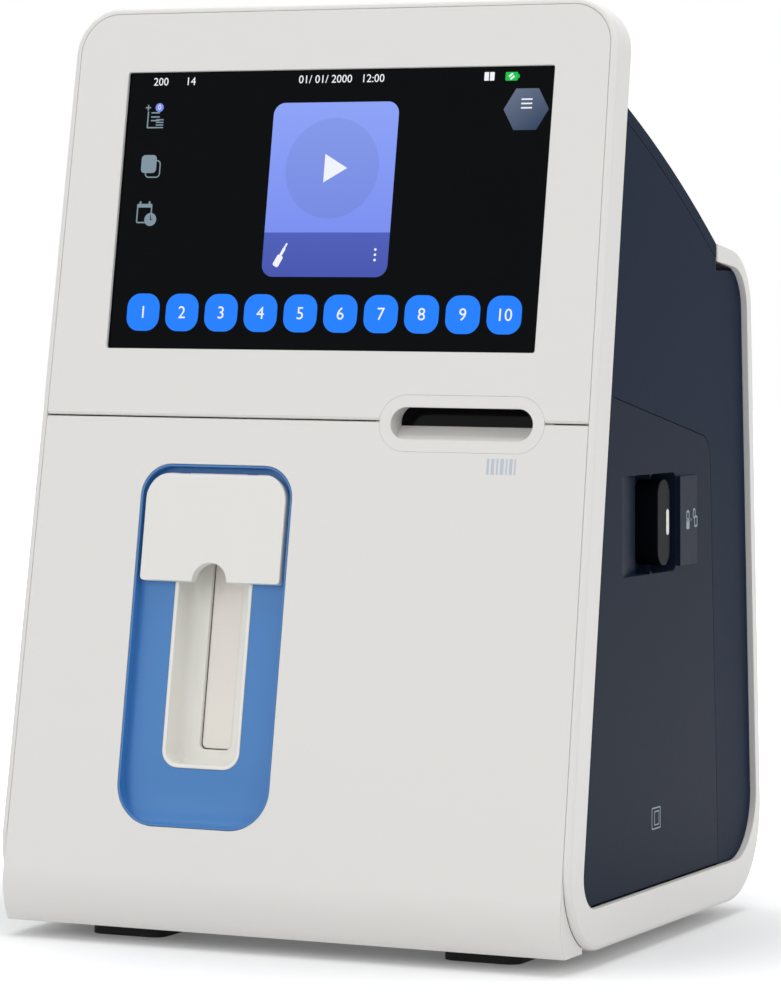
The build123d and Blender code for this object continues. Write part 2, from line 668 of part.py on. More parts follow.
def sampler_bracket():
    half = ARM_W / 2 + 4.0
    foot = ARM_FOOT_S - 6.0
    head = ARM_PIVOT_S + 8.0
    back = face_block(DISH_X, foot, 2 * half + 2 * EAR_T, head - foot, BRACKET_BACK, BRACKET_BACK + EAR_T)
    shape = back
    for side in (-1, 1):
        ear = face_block(DISH_X + side * (half + EAR_T / 2), ARM_PIVOT_S - 8.0, EAR_T, 16.0,
                         BRACKET_FRONT, BRACKET_BACK + EAR_T)
        leg = face_block(DISH_X + side * (half + EAR_T / 2), foot, EAR_T, 10.0,
                         BRACKET_FRONT, BRACKET_BACK + EAR_T)
        shape = shape + ear + leg
    bore = FACE * (Pos(DISH_X, ARM_PIVOT_S, -ARM_PIVOT_D) * Rot(0, 90, 0)
                   * Cylinder(SHAFT_R + RUN_FIT, SHAFT_LEN + 10))
    return shape - bore


def sampler_motor():
    start = DISH_X + ARM_W / 2 + 4.0 + EAR_T + SEAT
    beside = DISH_X + TROUGH_W / 2 + TROUGH_T + 0.5
    body = FACE * (Pos(beside + 9.0, ARM_PIVOT_S, -ARM_PIVOT_D) * Rot(0, 90, 0) * Cylinder(7.5, 18.0))
    neck = FACE * (Pos((start + beside + 1) / 2, ARM_PIVOT_S, -ARM_PIVOT_D) * Rot(0, 90, 0)
                   * Cylinder(4.0, beside + 1 - start))
    body = body + neck
    bore = FACE * (Pos(DISH_X, ARM_PIVOT_S, -ARM_PIVOT_D) * Rot(0, 90, 0)
                   * Cylinder(SHAFT_R + RUN_FIT, SHAFT_LEN + 1))
    return body - bore


def rinse_port():
    near = ARM_PIVOT_D + ARM_T / 2 + 0.5
    block_ = face_block(DISH_X, ARM_FOOT_S, ARM_W, 22.0, near, BRACKET_BACK - SEAT)
    return block_


# Scanner
def scanner_bezel():
    outer = Pos(SLOT_X, SLOT_S) * stadium(SLOT_W + 2 * BEZEL_RIM, SLOT_H + 2 * BEZEL_RIM)
    flange = Pos(SLOT_X, SLOT_S) * stadium(SLOT_W + 2 * BEZEL_RIM + 5, SLOT_H + 2 * BEZEL_RIM + 5)
    hole = Pos(SLOT_X, SLOT_S) * stadium(SLOT_W, SLOT_H)
    body = face_prism(outer, 0.0, SLOT_DEPTH) + face_prism(flange, COVER_T + SEAT, COVER_T + 1.7)
    relief = Pos(SLOT_X, SLOT_S + SLOT_RELIEF) * stadium(SLOT_W, SLOT_H)
    body = body - face_prism(hole, -5, SLOT_DEPTH + 5) - face_prism(relief, SLOT_LIP, SLOT_DEPTH + 5)
    low = SLOT_S - SLOT_H / 2
    side = Plane(origin=FACE.from_local_coords((SLOT_X, 0, 0)), x_dir=FACE.y_dir, z_dir=(-1, 0, 0))
    wedge = make_face(Polyline((low - 1, -1.2), (low, -1.2), (low + SLOT_RAMP, -SLOT_DEPTH),
                               (low - 1, -SLOT_DEPTH), close=True))
    if (side.y_dir - FACE.z_dir).length > 0.01:
        side = Plane(origin=side.origin, x_dir=FACE.y_dir, z_dir=(1, 0, 0))
    ramp = extrude(side * wedge, SLOT_W / 2, both=True)
    return body + (ramp & face_prism(outer, 0.0, SLOT_DEPTH))


def scanner_window():
    return face_prism(Pos(SLOT_X, SLOT_S) * stadium(SLOT_W + 6, SLOT_H + 4),
                      SLOT_DEPTH + SEAT, SLOT_DEPTH + 1.5)


def scan_engine():
    near = SLOT_DEPTH + 1.5 + SEAT
    body = face_block(SLOT_X, SLOT_S - 9, 44, 18, near, near + 24)
    eye = face_block(SLOT_X, SLOT_S - 5, 30, 10, near - 1, near + 8)
    lens = face_block(SLOT_X + 8, SLOT_S - 3, 8, 6, near + 3, near + 10)
    return body - eye + lens


# Display
GLASS_NEAR = SCREEN_REBATE + SEAT


def display_glass():
    return face_block(0, SCREEN_S - GLASS_MARGIN, SCREEN_W + 2 * GLASS_MARGIN,
                      SCREEN_H + 2 * GLASS_MARGIN, GLASS_NEAR, GLASS_NEAR + GLASS_T)


def display_panel():
    near = GLASS_NEAR + GLASS_T + SEAT
    return face_block(0, SCREEN_S - 1, SCREEN_W + 4, SCREEN_H + 2, near, near + LCD_T)


def display_bracket():
    near = GLASS_NEAR + GLASS_T + LCD_T + 2 * SEAT
    sheet = face_block(0, SCREEN_S - 6, SCREEN_W + 14, SCREEN_H + 8, near, near + BRACKET_T)
    tabs = face_block(0, SCREEN_S - 6, SCREEN_W + 14, BRACKET_T, COVER_T + SEAT, near + BRACKET_T)
    hole = face_block(0, SCREEN_S + 20, 60, 40, near - 5, near + 5)
    ribs = (face_block(-70, SCREEN_S - 6, BRACKET_T, 70, near, near + 5)
            + face_block(70, SCREEN_S - 6, BRACKET_T, 70, near, near + 5))
    for side in (-1, 1):
        for s in (SCREEN_S + 10, SCREEN_S + 60):
            ribs = ribs + face_block(side * 45, s, 6, 6, near, near + 4)
    return sheet + tabs + ribs - hole


def display_board():
    near = GLASS_NEAR + GLASS_T + LCD_T + 2 * SEAT + 4 + SEAT
    body = face_block(0, SCREEN_S + 5, 104, 70, near, near + BOARD_T)
    for x, s, w, h, t in ((-20, 30, 24, 24, 3), (25, 35, 16, 16, 2.5), (0, 8, 60, 6, 5), (30, 62, 20, 8, 4)):
        body = body + face_block(x, SCREEN_S + s, w, h, near, near + BOARD_T + t)
    return body


# Top cover and side panels
def top_cover():
    outer = across(body_outline()) & core(RECESS)
    inner = across(body_outline(COVER_T)) & core(RECESS + COVER_T)
    zone = across(make_face(Polyline(
        front_at(HOOD_FRONT_S / 2, HOOP_DEPTH + 0.4), front_at(FACE_LEN + 40, HOOP_DEPTH + 0.4),
        (HOOD_END[0] - 0.3, FACE_LEN + 40), (HOOD_END[0] - 0.3, HOOD_REAR_V / 2), close=True)))
    cover = outer - inner - across(body_outline(HOOD_SKIRT))
    return cover & zone


def door_outline(grow=0.0, front_extra=0.0):
    front = HOOP_DEPTH + PANEL_GAP - grow - front_extra
    sill = SILL + PANEL_GAP - grow - front_extra
    rear = (rear_at(0, DOOR_REAR - grow), 0.0)
    a = meet(front_at(0, front), (SL, CL), (0, sill), (1, 0))
    b = front_at(DOOR_TOP_S + grow, front)
    c = meet(b, (CL, -SL), rear, REAR_DIR)
    d = meet(rear, REAR_DIR, (0, sill), (1, 0))
    face = make_face(Polyline(a, b, c, d, close=True))
    return soften(face, [(a, max(SILL_R - PANEL_GAP + grow, 0.5)), (c, max(DOOR_R + grow, 0.5))])


LIP_NEAR = WALL + LIP_GAP
PANEL_BACK = RECESS + PANEL_T


def side_panel():
    plate = side_prism(window_outline(-PANEL_GAP), RECESS, PANEL_BACK)
    lip = side_prism(window_outline(LIP_REACH), LIP_NEAR, PANEL_BACK)
    lip = lip - side_prism(window_outline(-PANEL_GAP - 4), 0, 10)
    panel = (plate + lip) & across(body_outline(HOOD_SKIRT + 0.3))
    return panel & across(make_face(Polyline(
        front_at(-50, HOOP_DEPTH - LIP_REACH - 1), front_at(FACE_LEN + 40, HOOP_DEPTH + 0.4),
        (HOOD_END[0] - 0.3, FACE_LEN + 40), (HOOD_END[0] - 0.3, HOOD_REAR_V - RAIL_LOW),
        (Y1 + 20, HOOD_REAR_V - RAIL_LOW), (Y1 + 20, -20), close=True)))


RAIL_LOW = 10.0


def side_panel_left():
    return mirrored(side_panel())


def side_rod(radius, low, high, back, deep):
    """A rod along the front's lean, back behind the front and deep inside the right side."""
    y, v = front_at((low + high) / 2, back)
    centre = SIDE.from_local_coords((y, v, -deep))
    end = SIDE.from_local_coords((y + SL, v + CL, -deep))
    return rod(centre, radius, high - low, end - centre)


def hinge_block(low, high, front, rear, near, far):
    """A block in the hinge's own directions: along the front, behind it and in from the side."""
    y, v = front_at((low + high) / 2, (front + rear) / 2)
    x_dir = SIDE.x_dir * CL - SIDE.y_dir * SL
    plane = Plane(origin=SIDE.from_local_coords((y, v, -(near + far) / 2)), x_dir=x_dir,
                  z_dir=SIDE.z_dir)
    return plane * Box(rear - front, high - low, far - near)


ROLL_AT = HOOP_DEPTH + PANEL_GAP + DOOR_ROLL_R
AXIS_AT = HOOP_DEPTH + PANEL_GAP + AXIS_BACK
ROLL_FOOT = 31.0
DOOR_FOOT_S = (SILL + PANEL_GAP + AXIS_AT * SL) / CL
TOP_BOSS = DOOR_PIN_REACH + 3.0
BOSS_BACK = PANEL_BACK + 2.0


def door_roll(radius, low, high):
    return side_rod(radius, low, high, ROLL_AT, RECESS + DOOR_ROLL_R)


def door_pin_rod(radius, low, high):
    return side_rod(radius, low, high, AXIS_AT, AXIS_DEEP)


def side_panel_right():
    panel = side_panel() - side_prism(door_outline(DOOR_GAP), -5, 15)
    panel = panel - side_prism(door_outline(DOOR_GAP, 8.0), LIP_NEAR - 0.01, 15)
    low = DOOR_TOP_S + DOOR_GAP
    boss = hinge_block(low + 0.2, low + TOP_BOSS, AXIS_AT - HINGE_PAD, AXIS_AT + HINGE_PAD,
                       PANEL_BACK - 0.5, BOSS_BACK)
    return panel + boss - door_pin_rod(DOOR_PIN_R + RUN_FIT, low - 5, low + DOOR_PIN_REACH + 0.3)


def hinge_brackets():
    """Block under the sill that the door's lower pin turns in."""
    top = DOOR_FOOT_S - 0.9
    pad = hinge_block(0, top, AXIS_AT - HINGE_PAD, AXIS_AT + HINGE_PAD, WALL + SEAT, WALL + HINGE_PAD)
    pad = pad & across(body_outline(WALL + SEAT))
    return pad - door_pin_rod(DOOR_PIN_R + RUN_FIT, top - DOOR_PIN_REACH - 0.5, top + 5)


def door_pins():
    half = DOOR_PIN_LEN - DOOR_PIN_REACH
    top = DOOR_TOP_S + DOOR_PIN_REACH
    low = DOOR_FOOT_S - DOOR_PIN_REACH
    return door_pin_rod(DOOR_PIN_R, top - DOOR_PIN_LEN, top) + door_pin_rod(
        DOOR_PIN_R, low, DOOR_FOOT_S + half)


LATCH_Y = rear_at(LATCH_V, DOOR_REAR) - LATCH_SET
BAR_Y = LATCH_Y + 1.9
POCKET_WALL = 1.6
STEM_W = 5.0
STEM_H = 12.0
SLIDE_BASE_T = 2.0
KEEPER_NEAR = POCKET_D + POCKET_T + SLIDE_BASE_T + 1.6
KEEPER_T = 2.0
NOSE_T = 2.0
NOSE_LEN = 7.5


def side_block(y, v, near, far):
    """A block in the right side's frame from its limits."""
    return SIDE * (Pos(sum(y) / 2, sum(v) / 2, -(near + far) / 2)
                   * Box(y[1] - y[0], v[1] - v[0], far - near))


def latch_opening(grow=0.0):
    return Pos(LATCH_Y, LATCH_V) * RectangleRounded(LATCH_OPEN_W + 2 * grow, LATCH_H + 2 * grow,
                                                    4.0 + max(grow, -2.0))


def cartridge_door():
    plate = side_prism(door_outline(), RECESS, PANEL_BACK)
    ahead = hinge_block(-20, DOOR_TOP_S + 20, -5, ROLL_AT, -5, RECESS + DOOR_ROLL_R)
    barrel = door_roll(DOOR_ROLL_R, -10, DOOR_TOP_S)
    plate = plate - (ahead - barrel)
    door = plate + door_roll(DOOR_ROLL_R, ROLL_FOOT, DOOR_TOP_S)
    low, high = LATCH_V - LATCH_H / 2, LATCH_V + LATCH_H / 2
    pocket = side_prism(latch_opening(POCKET_WALL), PANEL_BACK - 0.1, POCKET_D + POCKET_T)
    scoop_y = (LATCH_Y - LATCH_OPEN_W / 2 - LATCH_SCOOP, LATCH_Y - LATCH_OPEN_W / 2 + 1)
    scoop_back = side_block((scoop_y[0] - 2, scoop_y[1]), (low - POCKET_WALL, high + POCKET_WALL),
                            PANEL_BACK - 0.1, POCKET_D)
    top = Plane(origin=SIDE.from_local_coords((0, LATCH_V, 0)), x_dir=(0, 1, 0),
                z_dir=SIDE.y_dir)
    half = LATCH_H / 2
    drawn = make_face(Polyline((scoop_y[0], -RECESS + 1), (scoop_y[0], -RECESS), (scoop_y[1], -POCKET_D + 4),
                               (scoop_y[1], -RECESS + 1), close=True))
    if (top.y_dir - SIDE.z_dir).length > 0.01:
        top = Plane(origin=top.origin, x_dir=(0, 1, 0), z_dir=(-top.z_dir.X, -top.z_dir.Y, -top.z_dir.Z))
    dip = extrude(top * drawn, half, both=True)
    back = make_face(Polyline((scoop_y[0] - 2, -PANEL_BACK + 0.1), (scoop_y[0] - 2, -PANEL_BACK - 1.5),
                              (scoop_y[1], -POCKET_D + 2), (scoop_y[1], -PANEL_BACK + 0.1), close=True))
    shell = extrude(top * back, half + POCKET_WALL, both=True)
    door = door + pocket + (shell & scoop_back)
    door = door - side_prism(latch_opening(), -5, POCKET_D) - dip
    travel = side_block((BAR_Y - STEM_W / 2 - LATCH_TRAVEL - 0.5, BAR_Y + STEM_W / 2 + 0.5),
                        (LATCH_V - STEM_H / 2 - 0.3, LATCH_V + STEM_H / 2 + 0.3), 0, POCKET_D + 5)
    door = door - travel
    pad_y = LATCH_Y + LATCH_OPEN_W / 2
    pad = make_face(Polyline((pad_y + 0.3, -RECESS - 0.1), (pad_y + 0.3, -RECESS + LATCH_PAD_RISE),
                             (pad_y + LATCH_PAD_W, -RECESS), (pad_y + LATCH_PAD_W, -RECESS - 0.1),
                             close=True))
    door = door + extrude(top * pad, half - 1.6, both=True)
    return door - door_pins()


def latch_slider():
    bar = side_prism(Pos(BAR_Y, LATCH_V) * RectangleRounded(LATCH_BAR_W, LATCH_BAR_H, 6.0),
                     RECESS + 0.3, POCKET_D - 0.3)
    bar = bar - latch_mark_block()
    base_near = POCKET_D + POCKET_T + 0.15
    stem = side_block((BAR_Y - STEM_W / 2, BAR_Y + STEM_W / 2),
                      (LATCH_V - STEM_H / 2, LATCH_V + STEM_H / 2), POCKET_D - 1, base_near + 1)
    base = side_block((BAR_Y - 5, BAR_Y + 11), (LATCH_V - 10, LATCH_V + 10),
                      base_near, base_near + SLIDE_BASE_T)
    nose_near = KEEPER_NEAR + KEEPER_T + 0.7
    hook = side_block((BAR_Y + 7, BAR_Y + 10), (LATCH_V - 6, LATCH_V + 6), base_near, nose_near + NOSE_T)
    nose = side_block((BAR_Y + 10 - NOSE_LEN - 3, BAR_Y + 10), (LATCH_V - 6, LATCH_V + 6),
                      nose_near, nose_near + NOSE_T)
    return bar + stem + base + hook + nose


def latch_mark_block():
    near = RECESS + 0.3
    ring = Pos(BAR_Y + 4.2, LATCH_V) * (SlotOverall(9.8, 3.0, rotation=90))
    return side_prism(ring, near, near + 0.6)


def latch_mark():
    return latch_mark_block()


def latch_keeper():
    rear = BAR_Y + 10 - NOSE_LEN - 3 - 1.0
    plate = side_block((rear - 20, rear), (LATCH_V - 9, KEEPER_ARM_V + KEEPER_T), KEEPER_NEAR,
                       KEEPER_NEAR + KEEPER_T)
    start = PLATE_X + PLATE_T + SEAT
    arm = block((start, BODY_W / 2 - KEEPER_NEAR - 3), (rear - 20, rear),
                (FOOT_H + KEEPER_ARM_V, FOOT_H + KEEPER_ARM_V + KEEPER_T))
    flange = block((start, start + KEEPER_T), (rear - 20, rear),
                   (FOOT_H + KEEPER_ARM_V - 10, FOOT_H + KEEPER_ARM_V + KEEPER_T))
    tip = block((BODY_W / 2 - KEEPER_NEAR - 3 - 0.1, BODY_W), (rear - 20, rear),
                (FOOT_H + KEEPER_ARM_V, FOOT_H + KEEPER_ARM_V + KEEPER_T)) & (
        core(KEEPER_NEAR) - core(KEEPER_NEAR + 9))
    return plate + arm + flange + tip


KEEPER_ARM_V = LATCH_V + 17.0


# Cartridge and its bay
CART_Z = FOOT_H + CART_V
TRAY_TOP = FOOT_H + WALL + SEAT + BASE_T


def cartridge_case():
    box = block((CART_X, CART_X + CART_W), (CART_Y, CART_Y + CART_L), (CART_Z, CART_Z + CART_H))
    inner = block((CART_X + CART_WALL, CART_X + CART_W - CART_WALL),
                  (CART_Y + CART_WALL, CART_Y + CART_L - CART_WALL),
                  (CART_Z + CART_WALL, CART_Z + CART_H + 5))
    box = fillet(box.edges().filter_by(Axis.Z), 3.0)
    grip = block((CART_X + CART_W - 1.0, CART_X + CART_W + 1), (CART_Y + 20, CART_Y + CART_L - 20),
                 (CART_Z + 70, CART_Z + 88))
    return box - inner - grip


LID_T = 2.4


def cartridge_lid():
    z = CART_Z + CART_H + SEAT
    lid = block((CART_X, CART_X + CART_W), (CART_Y, CART_Y + CART_L), (z, z + LID_T))
    lid = fillet(lid.edges().filter_by(Axis.Z), 3.0)
    handle = block((CART_X + CART_W - 8, CART_X + CART_W - 3), (CART_Y + 25, CART_Y + CART_L - 25),
                   (z + LID_T - 0.1, z + LID_T + 8))
    plug = block((CART_X + CART_WALL + 0.2, CART_X + CART_W - CART_WALL - 0.2),
                 (CART_Y + CART_WALL + 0.2, CART_Y + CART_L - CART_WALL - 0.2), (z - 2, z + 0.1))
    return lid + handle + plug


def bag(x, y, z):
    shape = block(x, y, z)
    return fillet(shape.edges().filter_by(Axis.Z), 5.0)


def reagent_bags():
    x = (CART_X + 14, CART_X + CART_W - CART_WALL - 0.5)
    split = CART_Y + CART_L * 0.62
    gap = 0.5
    first = bag(x, (CART_Y + CART_WALL + gap, CART_Y + CART_L * 0.3), (CART_Z + CART_WALL + SEAT, CART_Z + CART_H - 10))
    second = bag(x, (CART_Y + CART_L * 0.3 + gap, split), (CART_Z + CART_WALL + SEAT, CART_Z + CART_H - 10))
    return first + second


def waste_bag():
    x = (CART_X + 14, CART_X + CART_W - CART_WALL - 0.5)
    return bag(x, (CART_Y + CART_L * 0.62 + 0.5, CART_Y + CART_L - CART_WALL - 0.5),
               (CART_Z + CART_WALL + SEAT, CART_Z + CART_H - 22))


def sensor_card():
    x = CART_X + CART_WALL + SEAT
    card = block((x, x + 3), (CART_Y + 12, CART_Y + CART_L - 12), (CART_Z + CART_WALL + SEAT, CART_Z + 62))
    for i in range(5):
        y = CART_Y + 20 + i * 12
        card = card + rod((x + 4, y, CART_Z + 36), 4.0, 4.0, (1, 0, 0))
    return card


def cartridge_bay():
    gap = CART_FIT
    front = CART_Y - gap - BAY_T
    rear = CART_Y + CART_L + gap + BAY_T
    start = PLATE_X + PLATE_T + SEAT
    end = CART_X + CART_W + 14
    floor = block((start, end), (front, rear), (CART_Z - 0.2 - BAY_T, CART_Z - 0.2))
    wall_f = block((start, end), (front, front + BAY_T), (TRAY_TOP, CART_Z + 40))
    wall_r = block((start, end), (rear - BAY_T, rear), (TRAY_TOP, CART_Z + 40))
    back = block((start, start + BAY_T), (front, rear), (TRAY_TOP, CART_Z + 100))
    return floor + wall_f + wall_r + back


def cartridge_port():
    start = PLATE_X + PLATE_T + SEAT + BAY_T + SEAT
    body = block((start, CART_X - 1.0), (CART_Y + 18, CART_Y + CART_L - 18), (CART_Z + 14, CART_Z + 58))
    for i in range(5):
        y = CART_Y + 20 + i * 12
        body = body - rod((CART_X - 1, y, CART_Z + 36), 3.0, 6.0, (1, 0, 0))
    return body


# Structure
def base_tray():
    z = FOOT_H + WALL + SEAT
    x = BODY_W / 2 - BASE_STRIP + 4.5
    plate = block((-x, x), (Y0 + FRONT_FOOT_R, BASE_REAR), (z, z + BASE_T))
    nose = block((-x + 5, x - 5), (Y0 + WEDGE_END - 2, Y0 + FRONT_FOOT_R + 1), (z, z + BASE_T))
    return plate + nose


def feet():
    shape = None
    for x in (-FOOT_X, FOOT_X):
        for y in (Y0 + FOOT_FRONT, Y1 - FOOT_REAR):
            foot = block((x - FOOT_W / 2, x + FOOT_W / 2), (y - FOOT_L / 2, y + FOOT_L / 2), (0, FOOT_H + WALL))
            foot = fillet(foot.edges().filter_by(Axis.Z), 5.0)
            shape = foot if shape is None else shape + foot
    return shape


def chassis_plate():
    front = 52.0
    rear = Y1 - 30.0
    face = make_face(Polyline(
        (front_at(5, front)[0], TRAY_TOP - FOOT_H + SEAT), front_at(PLATE_TOP / CL, front),
        (rear, PLATE_TOP), (rear, TRAY_TOP - FOOT_H + SEAT), close=True))
    plate = extrude(MID * face, PLATE_T)
    plate = Pos(PLATE_X, 0, 0) * plate
    foot = block((PLATE_X - 12, PLATE_X + PLATE_T), (front_at(5, front)[0] + 5, BASE_REAR - 4),
                 (TRAY_TOP + SEAT, TRAY_TOP + SEAT + PLATE_T))
    plate = plate + foot
    return plate - rod((PLATE_X, PUMP_Y, FOOT_H + PUMP_V), PUMP_SHAFT_R + 0.5, 20, (1, 0, 0))


def board_standoffs():
    shape = None
    for y in BOARD_YS:
        for v in BOARD_VS:
            post = rod((PLATE_X - SEAT - STANDOFF / 2, y, FOOT_H + v), STANDOFF_R, STANDOFF, (1, 0, 0))
            shape = post if shape is None else shape + post
    return shape


BOARD_YS = (Y1 - 128.8, Y1 - 40.8)
BOARD_VS = (PLATE_TOP - 166.0, PLATE_TOP - 72.0)


def main_board():
    x = PLATE_X - 2 * SEAT - STANDOFF
    y = (BOARD_YS[0] - 6, BOARD_YS[1] + 6)
    z = (FOOT_H + BOARD_VS[0] - 6, FOOT_H + BOARD_VS[1] + 6)
    body = block((x - BOARD_T, x), y, z)
    for a, b, w, h, t in ((10, 60, 26, 26, 6), (48, 66, 18, 18, 2), (20, 20, 12, 20, 3), (45, 22, 34, 9, 9),
                          (80, 60, 8, 40, 8), (70, 14, 16, 10, 3)):
        body = body + block((x - BOARD_T - t, x), (y[0] + a, y[0] + a + w), (z[0] + b, z[0] + b + h))
    return body


VALVE_FRONT = 72.8      # valve block behind the front of the base
SUPPLY_REAR = BASE_REAR - 2.0
SUPPLY_L = SUPPLY_REAR - (Y0 + VALVE_FRONT + VALVE_L + SUPPLY_GAP)


def power_supply():
    x = (SUPPLY_X - SUPPLY_W, SUPPLY_X)
    body = block(x, (SUPPLY_REAR - SUPPLY_L, SUPPLY_REAR), (TRAY_TOP + SEAT, TRAY_TOP + SUPPLY_H))
    pitch = SUPPLY_L / 7.5
    for i in range(6):
        y = SUPPLY_REAR - SUPPLY_L + (i + 1) * pitch
        body = body - block((x[0] + 8, x[1] - 8), (y, y + 0.375 * pitch),
                            (TRAY_TOP + SUPPLY_H - 2, TRAY_TOP + SUPPLY_H + 5))
    return body


def battery_pack():
    low = BATTERY_SIDE - BODY_W / 2
    rear = BASE_REAR - 19.9
    body = block((low, low + BATTERY_W), (rear - BATTERY_L, rear), (TRAY_TOP + SEAT, TRAY_TOP + BATTERY_H))
    return fillet(body.edges().filter_by(Axis.Z), 3.0)


VALVE_X = SUPPLY_X + 8.0
VALVE_GAP = 8.9         # battery to valve block
VALVE_W = VALVE_X - (BATTERY_SIDE + BATTERY_W + VALVE_GAP - BODY_W / 2)


def valve_block():
    return block((VALVE_X - VALVE_W, VALVE_X), (Y0 + VALVE_FRONT, Y0 + VALVE_FRONT + VALVE_L),
                 (TRAY_TOP + SEAT, TRAY_TOP + VALVE_H))


def solenoids():
    shape = None
    pitch = VALVE_W / 4
    radius = SOLENOID_SHARE * pitch
    for i in range(4):
        centre = (VALVE_X - VALVE_W + (i + 0.5) * pitch, Y0 + VALVE_FRONT + VALVE_L / 2,
                  TRAY_TOP + VALVE_H + SEAT + SOLENOID_H / 2)
        can = rod(centre, radius, SOLENOID_H, (0, 0, 1))
        shape = can if shape is None else shape + can
    return shape


# Pump
PUMP_CENTRE = (PLATE_X + PLATE_T, PUMP_Y, FOOT_H + PUMP_V)
TRACK_R = 19.0
TUBE_PCD_R = 16.9
HEAD_R = 22.5
HEAD_BACK = 2.0


def pump_at(x):
    return (PLATE_X + PLATE_T + x, PUMP_Y, FOOT_H + PUMP_V)


def pump_head():
    z = FOOT_H + PUMP_V
    x = (PLATE_X + PLATE_T + SEAT, PLATE_X + PLATE_T + PUMP_W)
    outer = rod(pump_at((PUMP_W + SEAT) / 2), HEAD_R, PUMP_W - SEAT, (1, 0, 0)) + block(
        x, (PUMP_Y - HEAD_R, PUMP_Y + HEAD_R), (z - HEAD_R, z))
    inner = rod(pump_at(HEAD_BACK + PUMP_W / 2), TRACK_R, PUMP_W, (1, 0, 0)) + block(
        (x[0] + HEAD_BACK, x[1] + 5), (PUMP_Y - TRACK_R, PUMP_Y + TRACK_R), (z - HEAD_R - 5, z))
    return outer - inner - rod(pump_at(0), PUMP_SHAFT_R + 0.3, 40, (1, 0, 0))


def pump_rotor():
    low, high = HEAD_BACK + 0.8, PUMP_W - 1.0
    disc = 2.0
    shape = rod(pump_at(low + disc / 2), ROLLER_PCD_R + 2.4, disc, (1, 0, 0))
    shape = shape + rod(pump_at(high - disc / 2), ROLLER_PCD_R + 2.4, disc, (1, 0, 0))
    shape = shape + rod(pump_at((low + high) / 2), 4.0, high - low, (1, 0, 0))
    shape = shape + rod(pump_at((high - 14) / 2), PUMP_SHAFT_R, high + 14, (1, 0, 0))
    for i in range(3):
        y, z = roller_place(i)
        shape = shape + rod((PLATE_X + PLATE_T + (low + high) / 2, y, z), ROLLER_PIN_R, high - low - 1, (1, 0, 0))
    return shape


ROLLER_PIN_R = 1.2


def roller_place(i):
    a = radians(90 + 120 * i)
    return (PUMP_Y + ROLLER_PCD_R * cos(a), FOOT_H + PUMP_V + ROLLER_PCD_R * sin(a))


def pump_roller(i):
    low, high = HEAD_BACK + 0.8 + 2.0, PUMP_W - 1.0 - 2.0
    y, z = roller_place(i)
    centre = (PLATE_X + PLATE_T + (low + high) / 2, y, z)
    return rod(centre, ROLLER_R, high - low - 0.4, (1, 0, 0)) - rod(centre, ROLLER_PIN_R + RUN_FIT, 30, (1, 0, 0))


def pump_motor():
    body = rod((PLATE_X - SEAT - 16, PUMP_Y, FOOT_H + PUMP_V), 15.0, 32, (1, 0, 0))
    return body - rod((PLATE_X, PUMP_Y, FOOT_H + PUMP_V), PUMP_SHAFT_R + RUN_FIT, 34, (1, 0, 0))


def pump_tube():
    x = PLATE_X + PLATE_T + (HEAD_BACK + PUMP_W) / 2
    z = FOOT_H + PUMP_V
    left, right = (x, PUMP_Y - TUBE_PCD_R, z), (x, PUMP_Y + TUBE_PCD_R, z)
    low = z - HEAD_R - 8
    path = Wire([Line((x, left[1], low), left),
                 ThreePointArc(left, (x, PUMP_Y, z + TUBE_PCD_R), right),
                 Line(right, (x, right[1], low))])
    return sweep(Plane(origin=(x, left[1], low), z_dir=(0, 0, 1)) * Circle(TUBE_R), path=path)


# Rear
PORTS_X = -8.0          # middle of the connector opening, seen from the front
PORTS_V = 58.0
PORTS_W = 132.0
PORTS_H = 30.0


def rear_block(x, v, w, h, near, far):
    """A block in the rear's frame; x is the body's own x."""
    return REAR * (Pos(-x, v, -(near + far) / 2) * Box(w, h, far - near))


def rear_cover():
    skin = across(body_outline(0.0)) - across(body_outline(COVER_T))
    cover = skin & across(rear_zone(-0.3)) & core(REAR_STRIP + 0.3)
    cover = cover - rear_block(PORTS_X, PORTS_V, PORTS_W, PORTS_H, -5, 10)
    for i in range(9):
        cover = cover - rear_block(FAN_X, FAN_V - 24 + i * 6, 50 if abs(i - 4) < 3 else 36, 3, -5, 10)
    for x, v in rear_screw_places():
        cover = cover - REAR * (Pos(x, v, 0) * Cylinder(SCREW_R + 0.2, 12))
        cover = cover - REAR * (Pos(x, v, -0.7) * Cylinder(SCREW_HEAD_R + 0.2, 1.4))
        cover = cover - REAR * (Pos(x, v, 2.0) * Cylinder(SCREW_HEAD_R + 0.2, 4.0))
    return cover


def housing_screws():
    shape = None
    for x, v in rear_screw_places():
        head = REAR * (Pos(x, v, -0.75) * Cylinder(SCREW_HEAD_R, 1.3))
        shank = REAR * (Pos(x, v, -1.0 - SCREW_LEN / 2) * Cylinder(SCREW_R - 0.05, SCREW_LEN))
        screw = head + shank - REAR * (Pos(x, v, 0) * Box(3.6, 0.8, 1.4))
        shape = screw if shape is None else shape + screw
    return shape


PLATE_NEAR = COVER_T + 0.12


def connector_panel():
    panel = rear_block(PORTS_X, PORTS_V, PORTS_W + 6, PORTS_H + 8, PLATE_NEAR, PLATE_NEAR + 1.5)
    for x, v, w, h, deep in port_places():
        panel = panel - rear_block(x, v, w, h, -5, 10)
    return panel - rear_block(ROCKER_X, PORTS_V, ROCKER_W + 0.6, ROCKER_H + 0.6, -5, 10)


ROCKER_X = PORTS_X - 26.0
ROCKER_W = 12.0
ROCKER_H = 20.0
ROCKER_PIN_R = 1.5


